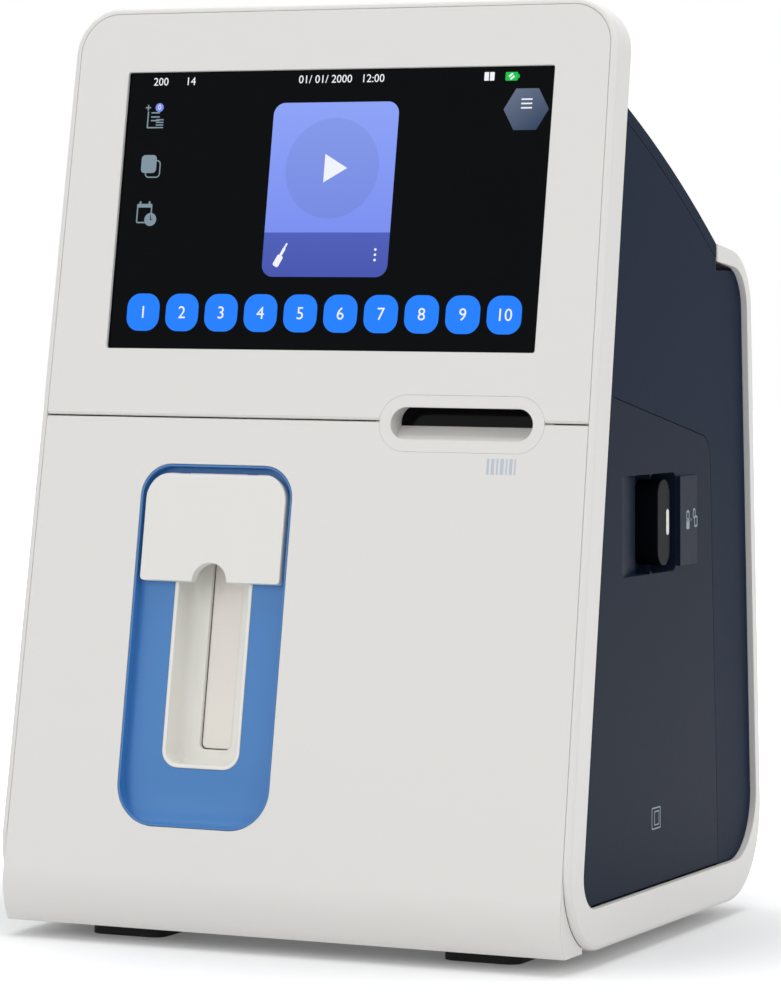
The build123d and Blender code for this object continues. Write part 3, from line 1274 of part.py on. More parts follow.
def port_places():
    return ((PORTS_X - 50, PORTS_V, 27.0, 20.0, 18.0), (PORTS_X - 2, PORTS_V - 3, 16.0, 13.0, 14.0),
            (PORTS_X + 20, PORTS_V + 5, 14.0, 6.0, 14.0), (PORTS_X + 20, PORTS_V - 5, 14.0, 6.0, 14.0),
            (PORTS_X + 46, PORTS_V, 30.0, 12.0, 10.0))


def rear_ports():
    shape = None
    for x, v, w, h, deep in port_places():
        body = rear_block(x, v, w - 0.2, h - 0.2, 1.0, deep)
        body = body + rear_block(x, v, w + 2, h + 2, PLATE_NEAR + 1.5 + SEAT, deep)
        body = body - rear_block(x, v, w - 4, h - 3.0, -1, deep - 4)
        if w > 26 and h > 15:
            for dx in (-6, 0, 6):
                body = body + rear_block(x + dx, v, 1.6, 5, 4, deep - 3)
        shape = body if shape is None else shape + body
    return shape


def rocker_axis():
    return (ROCKER_X, PORTS_V, 5.8)


def power_switch():
    """Rocker that tilts about a pin across it."""
    x, v, d = rocker_axis()
    body = rear_block(x, v, ROCKER_W, ROCKER_H, 1.4, 6.5)
    trim = REAR * (Pos(-x, v, -d) * Rot(0, 90, 0) * Cylinder(10.3, ROCKER_W))
    pin = REAR * (Pos(-x, v, -d) * Rot(0, 90, 0) * Cylinder(ROCKER_PIN_R + RUN_FIT, ROCKER_W + 2))
    dip = REAR * (Pos(-x, v, 10.5) * Rot(0, 90, 0) * Cylinder(12.6, ROCKER_W + 2))
    return (body & trim) - dip - pin


def switch_frame():
    """Box behind the connector panel with the pin that the rocker turns on."""
    x, v, d = rocker_axis()
    near = PLATE_NEAR + 1.5 + SEAT
    body = rear_block(x, v, ROCKER_W + 5, ROCKER_H + 6, near, near + 14)
    body = body - rear_block(x, v, ROCKER_W + 0.8, ROCKER_H + 3.0, near - 1, near + 11)
    pin = REAR * (Pos(-x, v, -d) * Rot(0, 90, 0) * Cylinder(ROCKER_PIN_R, ROCKER_W + 3))
    return body + pin


# Fan
FAN_NEAR = COVER_T + 0.2
FAN_HUB_R = 12.0
FAN_BORE_R = 28.0


def fan_frame():
    body = rear_block(FAN_X, FAN_V, FAN_W, FAN_W, FAN_NEAR, FAN_NEAR + FAN_D)
    bore = REAR * (Pos(-FAN_X, FAN_V, -(FAN_NEAR + FAN_D / 2)) * Cylinder(FAN_BORE_R, FAN_D + 4))
    body = body - bore
    back = FAN_NEAR + FAN_D
    hub = REAR * (Pos(-FAN_X, FAN_V, -(back - 1.25)) * Cylinder(FAN_HUB_R, 2.5))
    struts = rear_block(FAN_X, FAN_V, FAN_W - 3, 3, back - 2.5, back) + rear_block(
        FAN_X, FAN_V, 3, FAN_W - 3, back - 2.5, back)
    stub = REAR * (Pos(-FAN_X, FAN_V, -(back - 5)) * Cylinder(2.0, 10))
    return body + hub + struts + stub


def fan_rotor():
    near, far = FAN_NEAR + 1.5, FAN_NEAR + FAN_D - 3.2
    hub = REAR * (Pos(-FAN_X, FAN_V, -(near + far) / 2) * Cylinder(FAN_HUB_R, far - near))
    shape = hub
    for i in range(7):
        blade = Pos(19.0, 0, 0) * Rot(35, 0, 0) * Box(16.0, 9.0, 1.6)
        shape = shape + REAR * (Pos(-FAN_X, FAN_V, -(near + far) / 2) * Rot(0, 0, i * 360 / 7) * blade)
    bore = REAR * (Pos(-FAN_X, FAN_V, -(FAN_NEAR + FAN_D - 5)) * Cylinder(2.0 + RUN_FIT, 10.6))
    return shape - bore


NODES = {
    "housing_shell": housing_shell,
    "top_cover": top_cover,
    "side_panel_left": side_panel_left,
    "side_panel_right": side_panel_right,
    "rear_cover": rear_cover,
    "housing_screws": housing_screws,
    "base_tray": base_tray,
    "feet": feet,
    "chassis_plate": chassis_plate,
    "front_cover_upper": front_cover_upper,
    "front_cover_lower": front_cover_lower,
    "display_glass": display_glass,
    "display_panel": display_panel,
    "display_bracket": display_bracket,
    "display_board": display_board,
    "scanner_bezel": scanner_bezel,
    "scanner_window": scanner_window,
    "scan_engine": scan_engine,
    "sampler_surround": sampler_surround,
    "probe_trough": probe_trough,
    "sampler_flap": sampler_flap,
    "flap_pin": flap_pin,
    "probe_arm": probe_arm,
    "arm_shaft": arm_shaft,
    "sample_probe": sample_probe,
    "sampler_bracket": sampler_bracket,
    "sampler_motor": sampler_motor,
    "rinse_port": rinse_port,
    "cartridge_door": cartridge_door,
    "hinge_brackets": hinge_brackets,
    "door_pins": door_pins,
    "latch_slider": latch_slider,
    "latch_mark": latch_mark,
    "latch_keeper": latch_keeper,
    "cartridge_bay": cartridge_bay,
    "cartridge_port": cartridge_port,
    "cartridge_case": cartridge_case,
    "cartridge_lid": cartridge_lid,
    "reagent_bags": reagent_bags,
    "waste_bag": waste_bag,
    "sensor_card": sensor_card,
    "pump_head": pump_head,
    "pump_rotor": pump_rotor,
    "pump_roller_1": lambda: pump_roller(0),
    "pump_roller_2": lambda: pump_roller(1),
    "pump_roller_3": lambda: pump_roller(2),
    "pump_motor": pump_motor,
    "pump_tube": pump_tube,
    "board_standoffs": board_standoffs,
    "main_board": main_board,
    "power_supply": power_supply,
    "battery_pack": battery_pack,
    "valve_block": valve_block,
    "solenoids": solenoids,
    "connector_panel": connector_panel,
    "rear_ports": rear_ports,
    "power_switch": power_switch,
    "switch_frame": switch_frame,
    "fan_frame": fan_frame,
    "fan_rotor": fan_rotor,
}


if __name__ == "__main__":
    os.makedirs("parts", exist_ok=True)
    for name, make in NODES.items():
        export(name, make())
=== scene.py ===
import math

import bpy
from mathutils import Matrix, Vector


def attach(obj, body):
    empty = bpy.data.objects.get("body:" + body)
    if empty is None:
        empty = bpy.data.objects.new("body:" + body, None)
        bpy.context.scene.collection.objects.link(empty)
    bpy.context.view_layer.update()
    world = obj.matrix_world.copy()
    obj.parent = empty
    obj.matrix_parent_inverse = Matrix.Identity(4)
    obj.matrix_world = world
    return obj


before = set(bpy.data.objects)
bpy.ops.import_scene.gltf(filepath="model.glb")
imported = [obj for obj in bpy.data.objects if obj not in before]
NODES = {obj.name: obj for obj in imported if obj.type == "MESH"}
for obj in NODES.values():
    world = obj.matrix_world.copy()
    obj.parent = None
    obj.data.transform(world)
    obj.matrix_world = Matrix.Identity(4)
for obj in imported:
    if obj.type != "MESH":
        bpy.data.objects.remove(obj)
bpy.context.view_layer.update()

# An upright bench analyzer for electrolytes: white shell, leaning touchscreen front, blue
# sampler recess, dark side panels and a cartridge door on the right.
MM = 0.001


# Directions of the body
LEAN = math.radians(9.375)
TAPER = math.radians(0.77)
REAR_LEAN = math.radians(3.23)
FRONT_AT = Vector((0, -106.8, 6)) * MM
UP_FRONT = Vector((0, math.sin(LEAN), math.cos(LEAN)))
OUT_FRONT = Vector((0, -math.cos(LEAN), math.sin(LEAN)))
SIDE_AT = Vector((115, 0, 6)) * MM
UP_SIDE = Vector((-math.sin(TAPER), 0, math.cos(TAPER)))
OUT_SIDE = Vector((math.cos(TAPER), 0, math.sin(TAPER)))


def on_plane(origin, along, up, out):
    """Matrix that takes a piece drawn flat on x and y to a leaning face."""
    columns = Matrix((along, up, out)).transposed().to_4x4()
    return Matrix.Translation(origin) @ columns


ON_FRONT = on_plane(FRONT_AT, Vector((1, 0, 0)), UP_FRONT, OUT_FRONT)
ON_SIDE = on_plane(SIDE_AT, Vector((0, 1, 0)), UP_SIDE, OUT_SIDE)


# Finishes
class Value:
    """A shader socket that plain arithmetic works on."""

    def __init__(self, paint, socket):
        self.paint = paint
        self.socket = socket

    def maths(self, operation, *others):
        sockets = {i: v for i, v in enumerate((self,) + others)}
        return self.paint.node("ShaderNodeMath", {"operation": operation}, sockets)

    def __add__(self, other):
        return self.maths("ADD", other)

    def __radd__(self, other):
        return self.maths("ADD", other)

    def __sub__(self, other):
        return self.maths("SUBTRACT", other)

    def __rsub__(self, other):
        return self.maths("MULTIPLY_ADD", -1.0, other)

    def __mul__(self, other):
        return self.maths("MULTIPLY", other)

    def __rmul__(self, other):
        return self.maths("MULTIPLY", other)

    def __truediv__(self, other):
        return self.maths("DIVIDE", other)

    def above(self, level, soft):
        """0 below level, 1 above it, with a soft step."""
        step = (self - (level - soft / 2)) / soft
        return step.maths("MAXIMUM", 0.0).maths("MINIMUM", 1.0)


class Paint:
    """One material, with its principled shader and the nodes that vary it."""

    def __init__(self, name, roughness=0.5, metallic=0.0, **constants):
        self.material = bpy.data.materials.new(name)
        self.material.use_nodes = True
        self.tree = self.material.node_tree
        self.tree.nodes.clear()
        self.shader = self.tree.nodes.new("ShaderNodeBsdfPrincipled")
        self.output = self.tree.nodes.new("ShaderNodeOutputMaterial")
        self.tree.links.new(self.shader.outputs[0], self.output.inputs["Surface"])
        self.feed("Roughness", roughness)
        self.feed("Metallic", metallic)
        for socket, value in constants.items():
            self.feed(socket.replace("_", " "), value)
        self.place = self.node("ShaderNodeTexCoord", out="Object")

    def feed(self, socket, value):
        if isinstance(value, Value):
            self.tree.links.new(value.socket, self.shader.inputs[socket])
        else:
            self.shader.inputs[socket].default_value = value

    def node(self, kind, settings=None, sockets=None, out=0):
        made = self.tree.nodes.new(kind)
        for name, value in (settings or {}).items():
            if name == "stops":
                ramp = made.color_ramp
                while len(ramp.elements) < len(value):
                    ramp.elements.new(1.0)
                for element, (at, colour) in zip(ramp.elements, value):
                    element.position = at
                    element.color = colour
            else:
                setattr(made, name, value)
        for name, value in (sockets or {}).items():
            if isinstance(value, Value):
                self.tree.links.new(value.socket, made.inputs[name])
            else:
                made.inputs[name].default_value = value
        return Value(self, made.outputs[out])

    def noise(self, scale, detail=2.0, stretch=None):
        place = self.place
        if stretch:
            place = self.node("ShaderNodeMapping", {}, {"Vector": place, "Scale": stretch})
        return self.node("ShaderNodeTexNoise", {"noise_dimensions": "3D"},
                         {"Vector": place, "Scale": scale, "Detail": detail, "Roughness": 0.55}, 0)

    def blend(self, amount, a, b):
        return self.node("ShaderNodeMix", {"data_type": "RGBA"},
                         {"Factor": amount, 6: a, 7: b}, 2)

    def along(self, direction, origin=(0, 0, 0)):
        """Distance in metres from origin along a direction."""
        moved = self.node("ShaderNodeVectorMath", {"operation": "SUBTRACT"},
                          {0: self.place, 1: tuple(origin)})
        return self.node("ShaderNodeVectorMath", {"operation": "DOT_PRODUCT"},
                         {0: moved, 1: tuple(direction)}, "Value")

    def bump(self, height, distance, strength=1.0, under=None):
        sockets = {"Height": height, "Distance": distance, "Strength": strength}
        if under:
            sockets["Normal"] = under
        return self.node("ShaderNodeBump", {}, sockets)

    def rounded(self, radius):
        return self.node("ShaderNodeBevel", {"samples": 4}, {"Radius": radius})


def tone(r, g, b):
    """Linear colour of an on-screen colour from 0 to 255."""
    def one(c):
        c = c / 255
        return c / 12.92 if c < 0.04045 else ((c + 0.055) / 1.055) ** 2.4
    return (one(r), one(g), one(b), 1.0)


def shade(colour, factor):
    return tuple(min(c * factor, 1.0) for c in colour[:3]) + (1.0,)


def moulded(name, colour, roughness, grain=0.35, height=0.012, vary=0.03, round_at=0.5, **constants):
    """Moulded plastic: fine spark-eroded grain, a faint drift of tone and slightly rounded edges."""
    paint = Paint(name, **constants)
    drift = paint.noise(9.0, 3.0)
    grit = paint.noise(1.0 / (grain * MM), 2.0)
    cloud = paint.noise(220.0, 2.0)
    mottle = drift * 0.7 + cloud * 0.3
    paint.feed("Base Color", paint.blend(mottle, shade(colour, 1 - vary), shade(colour, 1 + vary)))
    paint.feed("Roughness", roughness - 0.05 + cloud * 0.06 + grit * 0.04)
    under = paint.rounded(round_at * MM) if round_at else None
    paint.feed("Normal", paint.bump(grit, height * MM, 0.6, under))
    return paint.material


def brushed(name, colour, roughness, along=(1, 1, 40)):
    """Metal with fine lines along one direction."""
    paint = Paint(name, metallic=1.0)
    lines = paint.noise(160.0, 3.0, along)
    cloud = paint.noise(30.0, 2.0)
    paint.feed("Base Color", paint.blend(lines, shade(colour, 0.82), shade(colour, 1.12)))
    paint.feed("Roughness", roughness - 0.06 + lines * 0.12 + cloud * 0.05)
    paint.feed("Normal", paint.bump(lines, 0.01 * MM, 0.5, paint.rounded(0.2 * MM)))
    return paint.material


def galvanised(name, colour, roughness):
    """Zinc-coated sheet, with its spangle."""
    paint = Paint(name, metallic=0.85)
    spangle = paint.node("ShaderNodeTexVoronoi", {"feature": "F1"},
                         {"Vector": paint.place, "Scale": 170.0}, "Color")
    grey = paint.node("ShaderNodeSeparateColor", {}, {"Color": spangle}, 0)
    cloud = paint.noise(900.0, 2.0)
    paint.feed("Base Color", paint.blend(grey * 0.6 + cloud * 0.4, shade(colour, 0.85), shade(colour, 1.08)))
    paint.feed("Roughness", roughness - 0.08 + grey * 0.14 + cloud * 0.04)
    paint.feed("Normal", paint.bump(cloud, 0.01 * MM, 0.4))
    return paint.material


def lit(name, colour, glow=1.0, base=(0.004, 0.004, 0.005, 1.0)):
    """A patch of the lit screen, seen through its glass."""
    paint = Paint(name, roughness=0.12, Specular_IOR_Level=0.03)
    paint.feed("Base Color", base)
    paint.feed("Emission Strength", glow)
    dots = paint.noise(5200.0, 0.0)
    paint.feed("Emission Color", paint.blend(dots, shade(colour, 0.985), shade(colour, 1.015)))
    paint.feed("Normal", paint.bump(paint.noise(60.0), 0.002 * MM, 0.2))
    return paint.material


def printed(name, colour, base, cover=0.92):
    """Pad-printed ink with slightly broken cover."""
    paint = Paint(name, roughness=0.5)
    patches = paint.noise(2600.0, 2.0)
    paint.feed("Base Color", paint.blend(patches.above(cover, 0.1), colour, base))
    paint.feed("Roughness", 0.42 + patches * 0.12)
    paint.feed("Normal", paint.bump(patches, 0.004 * MM, 0.4))
    return paint.material


WHITE = tone(230, 228, 224)
NAVY = tone(27, 38, 56)
white_shell = moulded("white_shell", WHITE, 0.44, vary=0.008, round_at=0.6)
white_cover = moulded("white_cover", WHITE, 0.46, vary=0.008, round_at=0.5)
white_bezel = moulded("white_bezel", WHITE, 0.46, vary=0.008, round_at=0.15)
white_flap = moulded("white_flap", tone(233, 231, 226), 0.42, vary=0.008, round_at=0.5)
ivory_channel = moulded("ivory_channel", tone(240, 238, 231), 0.40, vary=0.012, round_at=0.9)
beige_arm = moulded("beige_arm", tone(242, 237, 229), 0.42, vary=0.015, round_at=0.8)
navy_panel = moulded("navy_panel", NAVY, 0.38, grain=0.28, height=0.01, vary=0.05,
                     round_at=0.4, Specular_IOR_Level=0.012)
navy_door = moulded("navy_door", tone(25, 34, 50), 0.36, grain=0.28, height=0.01, vary=0.05,
                     round_at=0.5, Specular_IOR_Level=0.015)
latch_black = moulded("latch_black", tone(12, 15, 21), 0.24, grain=0.5, height=0.004, vary=0.04, round_at=0.8,
                      Specular_IOR_Level=0.015)
blue_recess = moulded("blue_recess", tone(62, 124, 188), 0.42, grain=0.3, height=0.012,
                      vary=0.02, round_at=0.3)
grey_cover = moulded("grey_cover", tone(150, 153, 156), 0.5, vary=0.02)
grey_part = moulded("grey_part", tone(140, 144, 149), 0.48, vary=0.03)
cartridge_shell = moulded("cartridge_shell", tone(206, 208, 206), 0.42, vary=0.015)
cartridge_cap = moulded("cartridge_cap", tone(60, 104, 166), 0.38, vary=0.02)
black_part = moulded("black_part", tone(34, 35, 38), 0.5, vary=0.06)
rubber_foot = moulded("rubber_foot", tone(30, 30, 31), 0.78, grain=0.6, height=0.03, vary=0.08)
bright_pin = brushed("bright_pin", (0.62, 0.62, 0.63, 1), 0.26)
motor_steel = brushed("motor_steel", (0.55, 0.55, 0.57, 1), 0.34, (1, 40, 1))
zinc_sheet = galvanised("zinc_sheet", (0.62, 0.63, 0.64, 1), 0.42)
socket_metal = brushed("socket_metal", (0.60, 0.60, 0.60, 1), 0.36, (40, 1, 1))


def glass_cover():
    """Black glass over the screen, with the faint dots of the picture behind it."""
    paint = Paint("glass_cover", roughness=0.07, Specular_IOR_Level=0.02)
    x = paint.along((1, 0, 0))
    s = paint.along(UP_FRONT, FRONT_AT)
    across = (x * (2 * math.pi / (0.9 * MM))).maths("SINE")
    up = (s * (2 * math.pi / (0.9 * MM))).maths("SINE")
    dots = (across * up).above(0.55, 0.3)
    smear = paint.noise(14.0, 3.0)
    paint.feed("Base Color", paint.blend(smear, (0.0006, 0.0006, 0.0008, 1), (0.0014, 0.0016, 0.002, 1)))
    paint.feed("Emission Strength", 1.0)
    paint.feed("Emission Color", paint.blend(dots, (0.0003, 0.0004, 0.0006, 1), (0.0034, 0.0044, 0.0068, 1)))
    paint.feed("Roughness", 0.05 + smear * 0.05)
    paint.feed("Normal", paint.bump(smear, 0.02 * MM, 0.1))
    return paint.material


def scan_window():
    """Dark scanner window: a strip of bare board and lens barrels shows dimly behind it."""
    paint = Paint("scan_window", roughness=0.1, Specular_IOR_Level=0.05)
    smear = paint.noise(40.0, 3.0)
    s = paint.along(UP_FRONT, FRONT_AT)
    strip = s.above(188.6 * MM, 0.3 * MM) * (1.0 - s.above(190.2 * MM, 0.3 * MM))
    cell = paint.noise(260.0, 1.0)
    dim = paint.blend(strip * (0.6 + cell * 0.4), (0.003, 0.003, 0.004, 1), (0.018, 0.026, 0.028, 1))
    paint.feed("Base Color", dim)
    paint.feed("Roughness", 0.06 + smear * 0.08)
    paint.feed("Normal", paint.bump(smear, 0.02 * MM, 0.15))
    return paint.material


def circuit_board():
    """Green board with lighter tracks and rows of pads."""
    paint = Paint("circuit_board", roughness=0.35)
    tracks = paint.node("ShaderNodeTexBrick", {"offset": 0.5},
                        {"Vector": paint.place, "Scale": 90.0, "Mortar Size": 0.03, "Color1": (0, 0, 0, 1),
                         "Color2": (0, 0, 0, 1), "Mortar": (1, 1, 1, 1)}, 0)
    mask = paint.node("ShaderNodeSeparateColor", {}, {"Color": tracks}, 0)
    cloud = paint.noise(400.0)
    green = paint.blend(cloud, (0.010, 0.085, 0.040, 1), (0.016, 0.12, 0.055, 1))
    paint.feed("Base Color", paint.blend(mask * 0.6, green, (0.05, 0.24, 0.11, 1)))
    paint.feed("Roughness", 0.3 + cloud * 0.1)
    paint.feed("Normal", paint.bump(mask, 0.03 * MM, 0.5))
    return paint.material


def bag_film():
    """Soft film over fluid, with creases."""
    paint = Paint("bag_film", roughness=0.28)
    crease = paint.noise(120.0, 4.0, (1, 1, 0.3))
    paint.feed("Base Color", paint.blend(crease, tone(196, 205, 214), tone(228, 233, 238)))
    paint.feed("Roughness", 0.2 + crease * 0.2)
    paint.feed("Normal", paint.bump(crease, 0.6 * MM, 0.5))
    return paint.material


def silicone_tube():
    paint = Paint("silicone_tube", roughness=0.4)
    cloud = paint.noise(300.0)
    paint.feed("Base Color", paint.blend(cloud, tone(206, 196, 168), tone(222, 214, 190)))
    paint.feed("Roughness", 0.34 + cloud * 0.12)
    paint.feed("Normal", paint.bump(cloud, 0.02 * MM, 0.4))
    return paint.material


def shrink_wrap():
    paint = Paint("shrink_wrap", roughness=0.3)
    fold = paint.noise(90.0, 3.0, (1, 1, 3))
    paint.feed("Base Color", paint.blend(fold, tone(28, 70, 150), tone(38, 88, 176)))
    paint.feed("Roughness", 0.22 + fold * 0.14)
    paint.feed("Normal", paint.bump(fold, 0.15 * MM, 0.5))
    return paint.material


FINISH = {
    white_shell: ["housing_shell"],
    white_cover: ["front_cover_upper", "front_cover_lower"],
    white_bezel: ["scanner_bezel"],
    white_flap: ["sampler_flap", "latch_mark"],
    ivory_channel: ["probe_trough"],
    beige_arm: ["probe_arm", "rinse_port"],
    navy_panel: ["top_cover", "side_panel_left", "side_panel_right"],
    navy_door: ["cartridge_door"],
    latch_black: ["latch_slider"],
    blue_recess: ["sampler_surround"],
    grey_cover: ["rear_cover"],
    grey_part: ["cartridge_bay", "cartridge_port", "valve_block", "board_standoffs", "sensor_card",
                "pump_roller_1", "pump_roller_2", "pump_roller_3"],
    cartridge_shell: ["cartridge_case"],
    cartridge_cap: ["cartridge_lid"],
    black_part: ["hinge_brackets", "latch_keeper", "scan_engine", "pump_head", "power_switch", "switch_frame",
                 "rear_ports", "fan_frame", "fan_rotor", "display_panel"],
    rubber_foot: ["feet"],
    bright_pin: ["door_pins", "flap_pin", "arm_shaft", "sample_probe", "housing_screws", "pump_rotor"],
    motor_steel: ["pump_motor", "sampler_motor", "solenoids"],
    zinc_sheet: ["chassis_plate", "base_tray", "display_bracket", "sampler_bracket", "power_supply"],
    socket_metal: ["connector_panel"],
    glass_cover(): ["display_glass"],
    scan_window(): ["scanner_window"],
    circuit_board(): ["main_board", "display_board"],
    bag_film(): ["reagent_bags", "waste_bag"],
    silicone_tube(): ["pump_tube"],
    shrink_wrap(): ["battery_pack"],
}
for finish, names in FINISH.items():
    for name in names:
        slots = NODES[name].material_slots
        if not slots:
            NODES[name].data.materials.append(finish)
        for slot in slots:
            slot.material = finish


# Pieces drawn flat, then laid on a face of the body
def fresh():
    if bpy.context.object and bpy.context.object.mode != "OBJECT":
        bpy.ops.object.mode_set(mode="OBJECT")
    bpy.ops.object.select_all(action="DESELECT")


def edit(kind):
    bpy.ops.object.mode_set(mode="EDIT")
    bpy.ops.mesh.select_mode(type=kind)
    bpy.ops.mesh.select_all(action="SELECT")


def close_piece(name):
    bpy.ops.mesh.select_all(action="SELECT")
    bpy.ops.mesh.normals_make_consistent(inside=False)
    bpy.ops.object.mode_set(mode="OBJECT")
    piece = bpy.context.object
    piece.name = name
    bpy.ops.object.transform_apply(location=True, rotation=True, scale=True)
    return piece


def plate(name, x, y, w, h, r, t, segments=6):
    """Thin plate with rounded corners, its back on the plane, all in millimetres."""
    fresh()
    bpy.ops.mesh.primitive_plane_add(size=1, location=(x * MM, y * MM, 0))
    bpy.context.object.scale = (w * MM, h * MM, 1)
    bpy.ops.object.transform_apply(location=True, rotation=True, scale=True)
    edit("VERT")
    if r:
        bpy.ops.mesh.bevel(offset=r * MM, segments=segments, affect="VERTICES")
    bpy.ops.mesh.select_all(action="SELECT")
    bpy.ops.mesh.extrude_region_move(TRANSFORM_OT_translate={"value": (0, 0, t * MM)})
    return close_piece(name)


def disc(name, x, y, r, t, count=48, turn=0.0):
    fresh()
    bpy.ops.mesh.primitive_circle_add(vertices=count, radius=r * MM, fill_type="NGON",
                                      location=(x * MM, y * MM, 0), rotation=(0, 0, turn))
    bpy.ops.object.transform_apply(location=True, rotation=True, scale=True)
    edit("FACE")
    bpy.ops.mesh.extrude_region_move(TRANSFORM_OT_translate={"value": (0, 0, t * MM)})
    return close_piece(name)


def frame_plate(name, x, y, w, h, r, line, t, segments=5):
    """Outline of a rounded rectangle: the plate's face is inset and its middle taken out."""
    fresh()
    bpy.ops.mesh.primitive_plane_add(size=1, location=(x * MM, y * MM, 0))
    bpy.context.object.scale = (w * MM, h * MM, 1)
    bpy.ops.object.transform_apply(location=True, rotation=True, scale=True)
    edit("VERT")
    bpy.ops.mesh.bevel(offset=r * MM, segments=segments, affect="VERTICES")
    bpy.ops.mesh.select_mode(type="FACE")
    bpy.ops.mesh.select_all(action="SELECT")
    bpy.ops.mesh.inset(thickness=line * MM, depth=0)
    bpy.ops.mesh.delete(type="FACE")
    bpy.ops.mesh.select_all(action="SELECT")
    bpy.ops.mesh.extrude_region_move(TRANSFORM_OT_translate={"value": (0, 0, t * MM)})
    return close_piece(name)


def turned(piece, angle, x, y):
    """Turns a flat piece in its plane about a point."""
    about = Vector((x * MM, y * MM, 0))
    turn = Matrix.Rotation(math.radians(angle), 4, "Z")
    move = Matrix.Translation(about) @ turn @ Matrix.Translation(-about)
    piece.data.transform(move)
    return piece


def figure(name, words, x, y, size, t):
    """Plain figures as a thin solid, centred on a point."""
    fresh()
    bpy.ops.object.text_add(location=(0, 0, 0))
    text = bpy.context.object
    text.data.body = words
    text.data.size = size * MM
    text.data.align_x = "CENTER"
    text.data.align_y = "CENTER"
    text.data.extrude = t * MM / 2
    text.data.resolution_u = 3
    bpy.ops.object.convert(target="MESH")
    piece = bpy.context.object
    piece.name = name
    piece.data.transform(Matrix.Translation((x * MM, y * MM, t * MM / 2)))
    return piece


def joined(name, pieces):
    fresh()
    for piece in pieces:
        piece.select_set(True)
    bpy.context.view_layer.objects.active = pieces[0]
    if len(pieces) > 1:
        bpy.ops.object.join()
    whole = bpy.context.object
    whole.name = name
    return whole


def laid(piece, plane, lift, finish, body):
    """Puts a flat piece on a face, lifted off it, and gives it its finish and body."""
    piece.data.transform(plane @ Matrix.Translation((0, 0, lift * MM)))
    piece.data.materials.clear()
    piece.data.materials.append(finish)
    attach(piece, body)
    return piece


# What the lit screen shows.  The glass lies 1.4 mm behind the front.
GLASS = -1.4
LAYER = 0.04
THIN = 0.03


CARD_FOOT_S = 244.9
CARD_SPLIT_S = 261.6


def card_paint():
    paint = Paint("card_light", roughness=0.1, Specular_IOR_Level=0.03)
    s = paint.along(UP_FRONT, FRONT_AT)
    rise = (s - CARD_SPLIT_S * MM) / (49.1 * MM)
    grain = paint.noise(5200.0, 0.0)
    upper = paint.blend(rise + grain * 0.02, tone(122, 142, 240), tone(140, 162, 246))
    foot = paint.blend((s - CARD_FOOT_S * MM) / (16.7 * MM), tone(70, 84, 174), tone(78, 94, 184))
    paint.feed("Base Color", (0.004, 0.004, 0.006, 1))
    paint.feed("Emission Strength", 1.0)
    paint.feed("Emission Color", paint.blend(s.above(CARD_SPLIT_S * MM, 0.12 * MM), foot, upper))
    return paint.material


def circle_paint():
    paint = Paint("circle_light", roughness=0.1, Specular_IOR_Level=0.03)
    s = paint.along(UP_FRONT, FRONT_AT)
    rise = (s - 266.8 * MM) / (38.0 * MM)
    paint.feed("Base Color", (0.004, 0.004, 0.006, 1))
    paint.feed("Emission Strength", 1.0)
    paint.feed("Emission Color", paint.blend(rise, tone(118, 138, 226), tone(130, 152, 232)))
    return paint.material


def badge_paint():
    paint = Paint("badge_light", roughness=0.1, Specular_IOR_Level=0.03)
    s = paint.along(UP_FRONT, FRONT_AT)
    x = paint.along((1, 0, 0))
    rise = (s - 299.1 * MM) / (16.0 * MM) * 0.6 + (84.0 * MM - x) / (15.5 * MM) * 0.4
    paint.feed("Base Color", (0.004, 0.004, 0.006, 1))
    paint.feed("Emission Strength", 1.0)
    paint.feed("Emission Color", paint.blend(rise, tone(38, 58, 88), tone(104, 116, 138)))
    return paint.material


key_light = lit("key_light", tone(32, 128, 255))
white_light = lit("white_light", tone(240, 243, 250))
dim_light = lit("dim_light", tone(128, 148, 160))
green_light = lit("green_light", tone(18, 196, 74))
badge_dot = lit("badge_dot", tone(122, 142, 240))
card_light = card_paint()
circle_light = circle_paint()
badge_light = badge_paint()
dark_light = lit("dark_light", tone(8, 10, 14))


def on_glass(piece, layer, light):
    return laid(piece, ON_FRONT, GLASS + 0.01 + layer * LAYER, light, "housing")


on_glass(plate("start_card", 0.25, 277.8, 51.1, 65.8, 4.6, THIN, 8), 0, card_light)
on_glass(disc("start_circle", 0.35, 285.8, 19.0, THIN, 64), 1, circle_light)
start = disc("start_mark", 0.35, 285.8, 6.2, THIN, 3, math.radians(-90))
on_glass(start, 2, white_light)

pen = [turned(plate("pen_body", -18.9, 250.9, 2.5, 4.6, 0.7, THIN), -28, -18.9, 250.9),
       turned(plate("pen_neck", -17.2, 254.4, 1.1, 3.2, 0.4, THIN), -28, -17.2, 254.4),
       turned(plate("pen_tip", -16.2, 256.4, 0.7, 2.6, 0.3, THIN), -28, -16.2, 256.4)]
on_glass(joined("pen_sign", pen), 2, white_light)
dots = [disc("more_dot", 20.5, s, 0.5, THIN, 20) for s in (251.3, 253.25, 255.2)]
on_glass(joined("more_dots", dots), 2, white_light)

key = plate("key_1", 0, 0, 13.6, 14.2, 5.2, THIN, 10)
KEY_S = 231.2
KEY_FIRST = -73.3
KEY_PITCH = 16.32
for i in range(10):
    x = KEY_FIRST + i * KEY_PITCH
    copy = key if i == 9 else key.copy()
    if i < 9:
        copy.data = key.data.copy()
        bpy.context.collection.objects.link(copy)
    copy.name = f"key_{i + 1}"
    copy.data.transform(Matrix.Translation((x * MM, KEY_S * MM, 0)))
    on_glass(copy, 0, key_light)
    on_glass(figure(f"key_figure_{i + 1}", str(i + 1), x, KEY_S - 0.2, 6.6, THIN), 2, white_light)

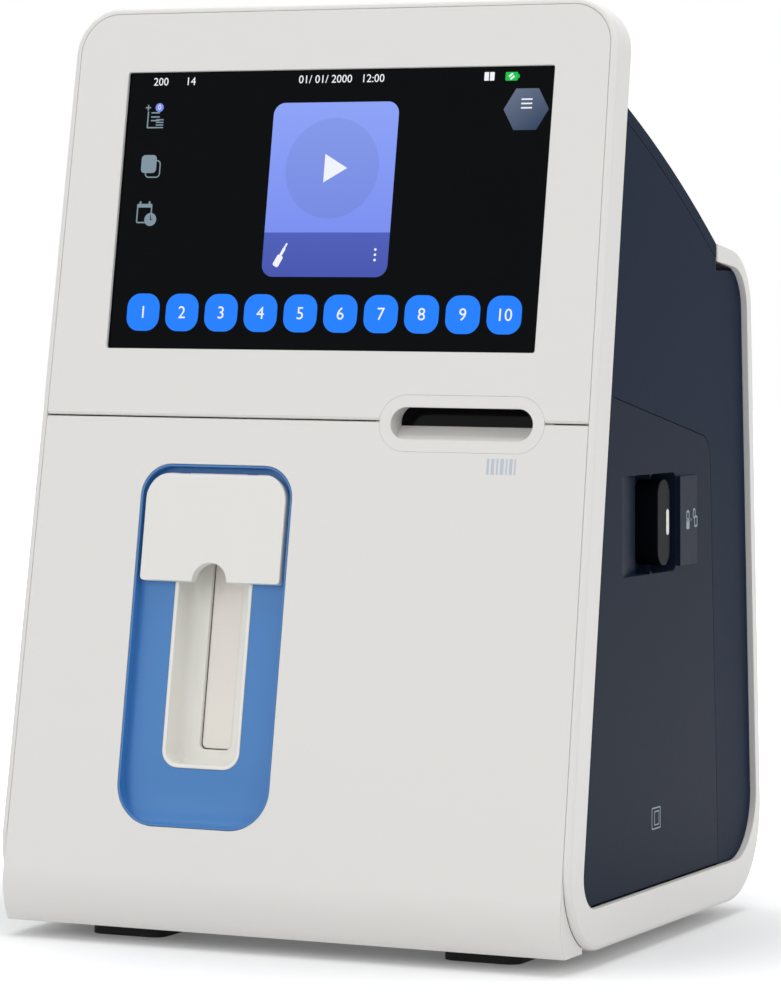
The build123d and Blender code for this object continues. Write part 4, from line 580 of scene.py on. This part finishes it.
hexagon = disc("menu_badge", 76.3, 307.1, 8.9, THIN, 6, math.radians(90))
on_glass(hexagon, 0, badge_light)
bars = [plate("menu_bar", 76.4, s, 4.3, 0.55, 0.1, THIN) for s in (307.6, 309.2, 310.8)]
on_glass(joined("menu_bars", bars), 2, white_light)

sign = [plate("list_edge", -78.0, 305.0, 0.5, 6.4, 0.2, THIN),
        plate("list_foot", -75.9, 301.9, 4.4, 0.5, 0.2, THIN),
        plate("list_plus", -78.2, 309.6, 2.2, 0.5, 0.1, THIN),
        plate("list_cross", -78.2, 309.6, 0.5, 2.2, 0.1, THIN)]
sign += [plate("list_line", -74.9, s, 3.6, 0.5, 0.1, THIN) for s in (307.6, 306.0, 304.6)]
sign += [plate("list_row", -72.9, s, 3.2, 0.45, 0.1, THIN) for s in (304.9, 303.9, 302.9, 301.9)]
on_glass(joined("list_sign", sign), 0, dim_light)
on_glass(disc("list_badge", -73.4, 309.6, 1.7, THIN, 28), 1, badge_dot)
on_glass(figure("list_figure", "0", -73.4, 309.6, 2.8, THIN), 2, white_light)
on_glass(frame_plate("stack_back", -74.2, 286.0, 6.4, 6.8, 1.6, 0.45, THIN), 0, dim_light)
on_glass(plate("stack_front", -76.0, 287.9, 6.4, 6.9, 1.5, THIN), 1, dim_light)
page = [frame_plate("date_page", -76.3, 268.8, 6.4, 7.2, 0.8, 0.5, THIN),
        plate("date_head", -76.3, 271.9, 6.4, 1.4, 0.4, THIN),
        plate("date_ring", -78.2, 273.0, 0.7, 1.2, 0.2, THIN),
        plate("date_ring", -74.4, 273.0, 0.7, 1.2, 0.2, THIN)]
on_glass(joined("date_sign", page), 0, dim_light)
on_glass(disc("date_clock", -73.5, 266.6, 2.5, THIN, 32), 1, dim_light)
hands = [plate("clock_hand", -73.5, 267.4, 0.35, 1.7, 0.1, THIN),
         plate("clock_hand", -73.1, 266.5, 1.1, 0.35, 0.1, THIN)]
on_glass(joined("clock_hands", hands), 2, dark_light)

on_glass(figure("count_figures", "200      14", -67.9, 319.4, 4.3, THIN), 0, white_light)
on_glass(figure("time_figures", "01/ 01/ 2000   12:00", 1.4, 319.4, 4.3, THIN), 0, white_light)
on_glass(plate("store_sign", 60.9, 319.5, 4.0, 3.2, 0.3, THIN), 0, white_light)
on_glass(plate("store_split", 60.9, 319.5, 0.4, 3.3, 0.1, THIN), 1, dark_light)
cell = [plate("charge_cell", 69.7, 319.4, 4.9, 3.2, 0.5, THIN),
        plate("charge_tip", 72.5, 319.4, 0.6, 1.4, 0.2, THIN)]
on_glass(joined("charge_sign", cell), 0, green_light)
bolt = [turned(plate("charge_bolt", 69.4, 319.9, 1.9, 0.7, 0.1, THIN), 38, 69.4, 319.9),
        turned(plate("charge_bolt", 70.0, 318.9, 1.9, 0.7, 0.1, THIN), 38, 70.0, 318.9)]
on_glass(joined("charge_bolt", bolt), 1, white_light)

# Printed signs on the front, the door and the latch pad
grey_ink = printed("grey_ink", tone(190, 198, 210), WHITE)
side_ink = printed("side_ink", tone(132, 146, 160), NAVY)
INK = 0.02
STRIP_GAP = 0.78
strips = []
at = 71.6
for width in (0.9, 1.25, 0.75, 1.35, 0.65, 1.15, 0.6):
    strips.append(plate("label_strip", at + width / 2, 175.6, width, 5.8, 0.0, INK))
    at += width + STRIP_GAP
laid(joined("label_sign", strips), ON_FRONT, 0.005, grey_ink, "housing")

# The door's outer face lies 2.2 mm inside the shell's side
PANEL_IN = -2.2
PAD_LENGTH = 23.2
# The pad beside the latch slopes from 1.6 mm proud down to the door's face
PAD_RISE = 1.6
PAD_FRONT = 14.3
PAD_HIGH = PAD_FRONT + PAD_LENGTH
PAD_TILT = math.atan(PAD_RISE / PAD_LENGTH)
PAD_ALONG = Vector((0, 1, 0)) * math.cos(PAD_TILT) - OUT_SIDE * math.sin(PAD_TILT)
PAD_OUT = OUT_SIDE * math.cos(PAD_TILT) + Vector((0, 1, 0)) * math.sin(PAD_TILT)
PAD_AT = SIDE_AT + Vector((0, PAD_HIGH * MM, 0)) + OUT_SIDE * PANEL_IN * MM
ON_PAD = on_plane(PAD_AT, PAD_ALONG, UP_SIDE, PAD_OUT)
LOCKED = 24.6 - PAD_HIGH
TURN = 29.0 - PAD_HIGH
LOOSE = 34.6 - PAD_HIGH
lock = [plate("lock_body", LOCKED, 149.6, 4.2, 4.2, 1.0, INK),
        frame_plate("lock_bow", LOCKED, 152.6, 4.2, 4.4, 1.6, 0.9, INK)]
arrow = disc("turn_mark", TURN, 151.0, 0.8, INK, 3, math.radians(-90))
loose = [frame_plate("open_body", LOOSE + 0.9, 150.1, 4.2, 4.3, 0.8, 0.75, INK),
         frame_plate("open_bow", LOOSE - 1.3, 153.2, 3.4, 4.0, 1.5, 0.75, INK)]
for piece in (joined("locked_sign", lock), arrow, joined("open_sign", loose)):
    laid(piece, ON_PAD, 0.02, side_ink, "door")
case = [frame_plate("case_edge", -8.0, 41.0, 9.4, 8.2, 0.8, 0.5, INK),
        frame_plate("case_inner", -7.4, 41.0, 5.2, 5.4, 0.3, 0.45, INK)]
laid(joined("case_sign", case), ON_SIDE, PANEL_IN + 0.02, side_ink, "door")

# Floor, light and camera
fresh()
bpy.ops.mesh.primitive_plane_add(size=14.0, location=(0, 2.0, 0))
bpy.ops.object.transform_apply(location=True, rotation=True, scale=True)
floor = bpy.context.object
floor.name = "floor"


def floor_paint():
    paint = Paint("pale_floor", roughness=0.9)
    grain = paint.noise(40.0, 2.0)
    paint.feed("Base Color", paint.blend(grain, (0.79, 0.79, 0.79, 1), (0.81, 0.81, 0.81, 1)))
    path = paint.tree.nodes.new("ShaderNodeLightPath")
    rays = [Value(paint, path.outputs[n]) for n in ("Is Camera Ray", "Is Glossy Ray", "Is Transmission Ray")]
    seen = (rays[0] + rays[1] + rays[2]).maths("MINIMUM", 1.0)
    paint.feed("Emission Color", (1, 1, 1, 1))
    # For camera, glossy and transmission rays the floor glows white, but within 0.12 m of the origin only a
    # tenth as much, rising to full at 0.47 m: painted shade around the body, added to the lamps' real shadow.
    away = paint.node("ShaderNodeVectorMath", {"operation": "LENGTH"}, {0: paint.place}, "Value")
    far = ((away - 0.12) / 0.35).maths("MAXIMUM", 0.0).maths("MINIMUM", 1.0)
    glow = paint.node("ShaderNodeEmission", {}, {"Color": (1, 1, 1, 1), "Strength": seen * (far * 0.9 + 0.1)})
    both = paint.tree.nodes.new("ShaderNodeAddShader")
    paint.tree.links.new(paint.shader.outputs[0], both.inputs[0])
    paint.tree.links.new(glow.socket, both.inputs[1])
    paint.tree.links.new(both.outputs[0], paint.output.inputs["Surface"])
    return paint.material


floor.data.materials.append(floor_paint())


def soft_light(name, at, look_at, width, height, power, tint=(1, 1, 1)):
    fresh()
    bpy.ops.object.light_add(type="AREA", location=at)
    lamp = bpy.context.object
    lamp.name = name
    lamp.data.shape = "RECTANGLE"
    lamp.data.size = width
    lamp.data.size_y = height
    lamp.data.energy = power
    lamp.data.color = tint
    lamp.rotation_euler = (Vector(look_at) - Vector(at)).to_track_quat("-Z", "Y").to_euler()
    return lamp


soft_light("front_box", (-0.7, -2.7, 1.3), (0, 0, 0.2), 2.2, 1.8, 17)
soft_light("side_box", (2.4, -0.4, 1.3), (0, 0, 0.2), 1.6, 1.6, 11)
soft_light("top_box", (0, 0.2, 2.6), (0, 0, 0.1), 2.2, 2.2, 40)

world = bpy.data.worlds.new("studio")
bpy.context.scene.world = world
world.use_nodes = True
tree = world.node_tree
tree.nodes.clear()
room = tree.nodes.new("ShaderNodeBackground")
room.inputs["Color"].default_value = (0.95, 0.97, 1.0, 1)
room.inputs["Strength"].default_value = 0.5
bright = tree.nodes.new("ShaderNodeBackground")
bright.inputs["Color"].default_value = (1, 1, 1, 1)
bright.inputs["Strength"].default_value = 1.0
path = tree.nodes.new("ShaderNodeLightPath")
pick = tree.nodes.new("ShaderNodeMixShader")
out = tree.nodes.new("ShaderNodeOutputWorld")
seen = tree.nodes.new("ShaderNodeMath")
seen.operation = "ADD"
seen_too = tree.nodes.new("ShaderNodeMath")
seen_too.operation = "ADD"
tree.links.new(path.outputs["Is Camera Ray"], seen.inputs[0])
tree.links.new(path.outputs["Is Glossy Ray"], seen.inputs[1])
tree.links.new(seen.outputs[0], seen_too.inputs[0])
tree.links.new(path.outputs["Is Transmission Ray"], seen_too.inputs[1])
tree.links.new(seen_too.outputs[0], pick.inputs["Fac"])
tree.links.new(room.outputs[0], pick.inputs[1])
tree.links.new(bright.outputs[0], pick.inputs[2])
tree.links.new(pick.outputs[0], out.inputs["Surface"])

scene = bpy.context.scene
scene.view_settings.view_transform = "Standard"

AZIMUTH = math.radians(23.917)
PITCH = math.radians(2.451)
ROLL = math.radians(0.507)
look = Vector((-math.sin(AZIMUTH) * math.cos(PITCH), math.cos(AZIMUTH) * math.cos(PITCH), -math.sin(PITCH)))
right = Vector((math.cos(AZIMUTH), math.sin(AZIMUTH), 0))
above = right.cross(look)
right_2 = math.cos(ROLL) * right + math.sin(ROLL) * above
above_2 = -math.sin(ROLL) * right + math.cos(ROLL) * above
fresh()
bpy.ops.object.camera_add(location=(0, 0, 0))
camera = bpy.context.object
camera.name = "camera"
camera.matrix_world = Matrix.Translation((0.6484, -1.4640, 0.2315)) @ Matrix(
    (right_2, above_2, -look)).transposed().to_4x4()
camera.data.sensor_fit = "VERTICAL"
camera.data.sensor_height = 36.0
camera.data.lens = 150.28
camera.data.clip_start = 0.05
camera.data.clip_end = 60.0
scene.camera = camera
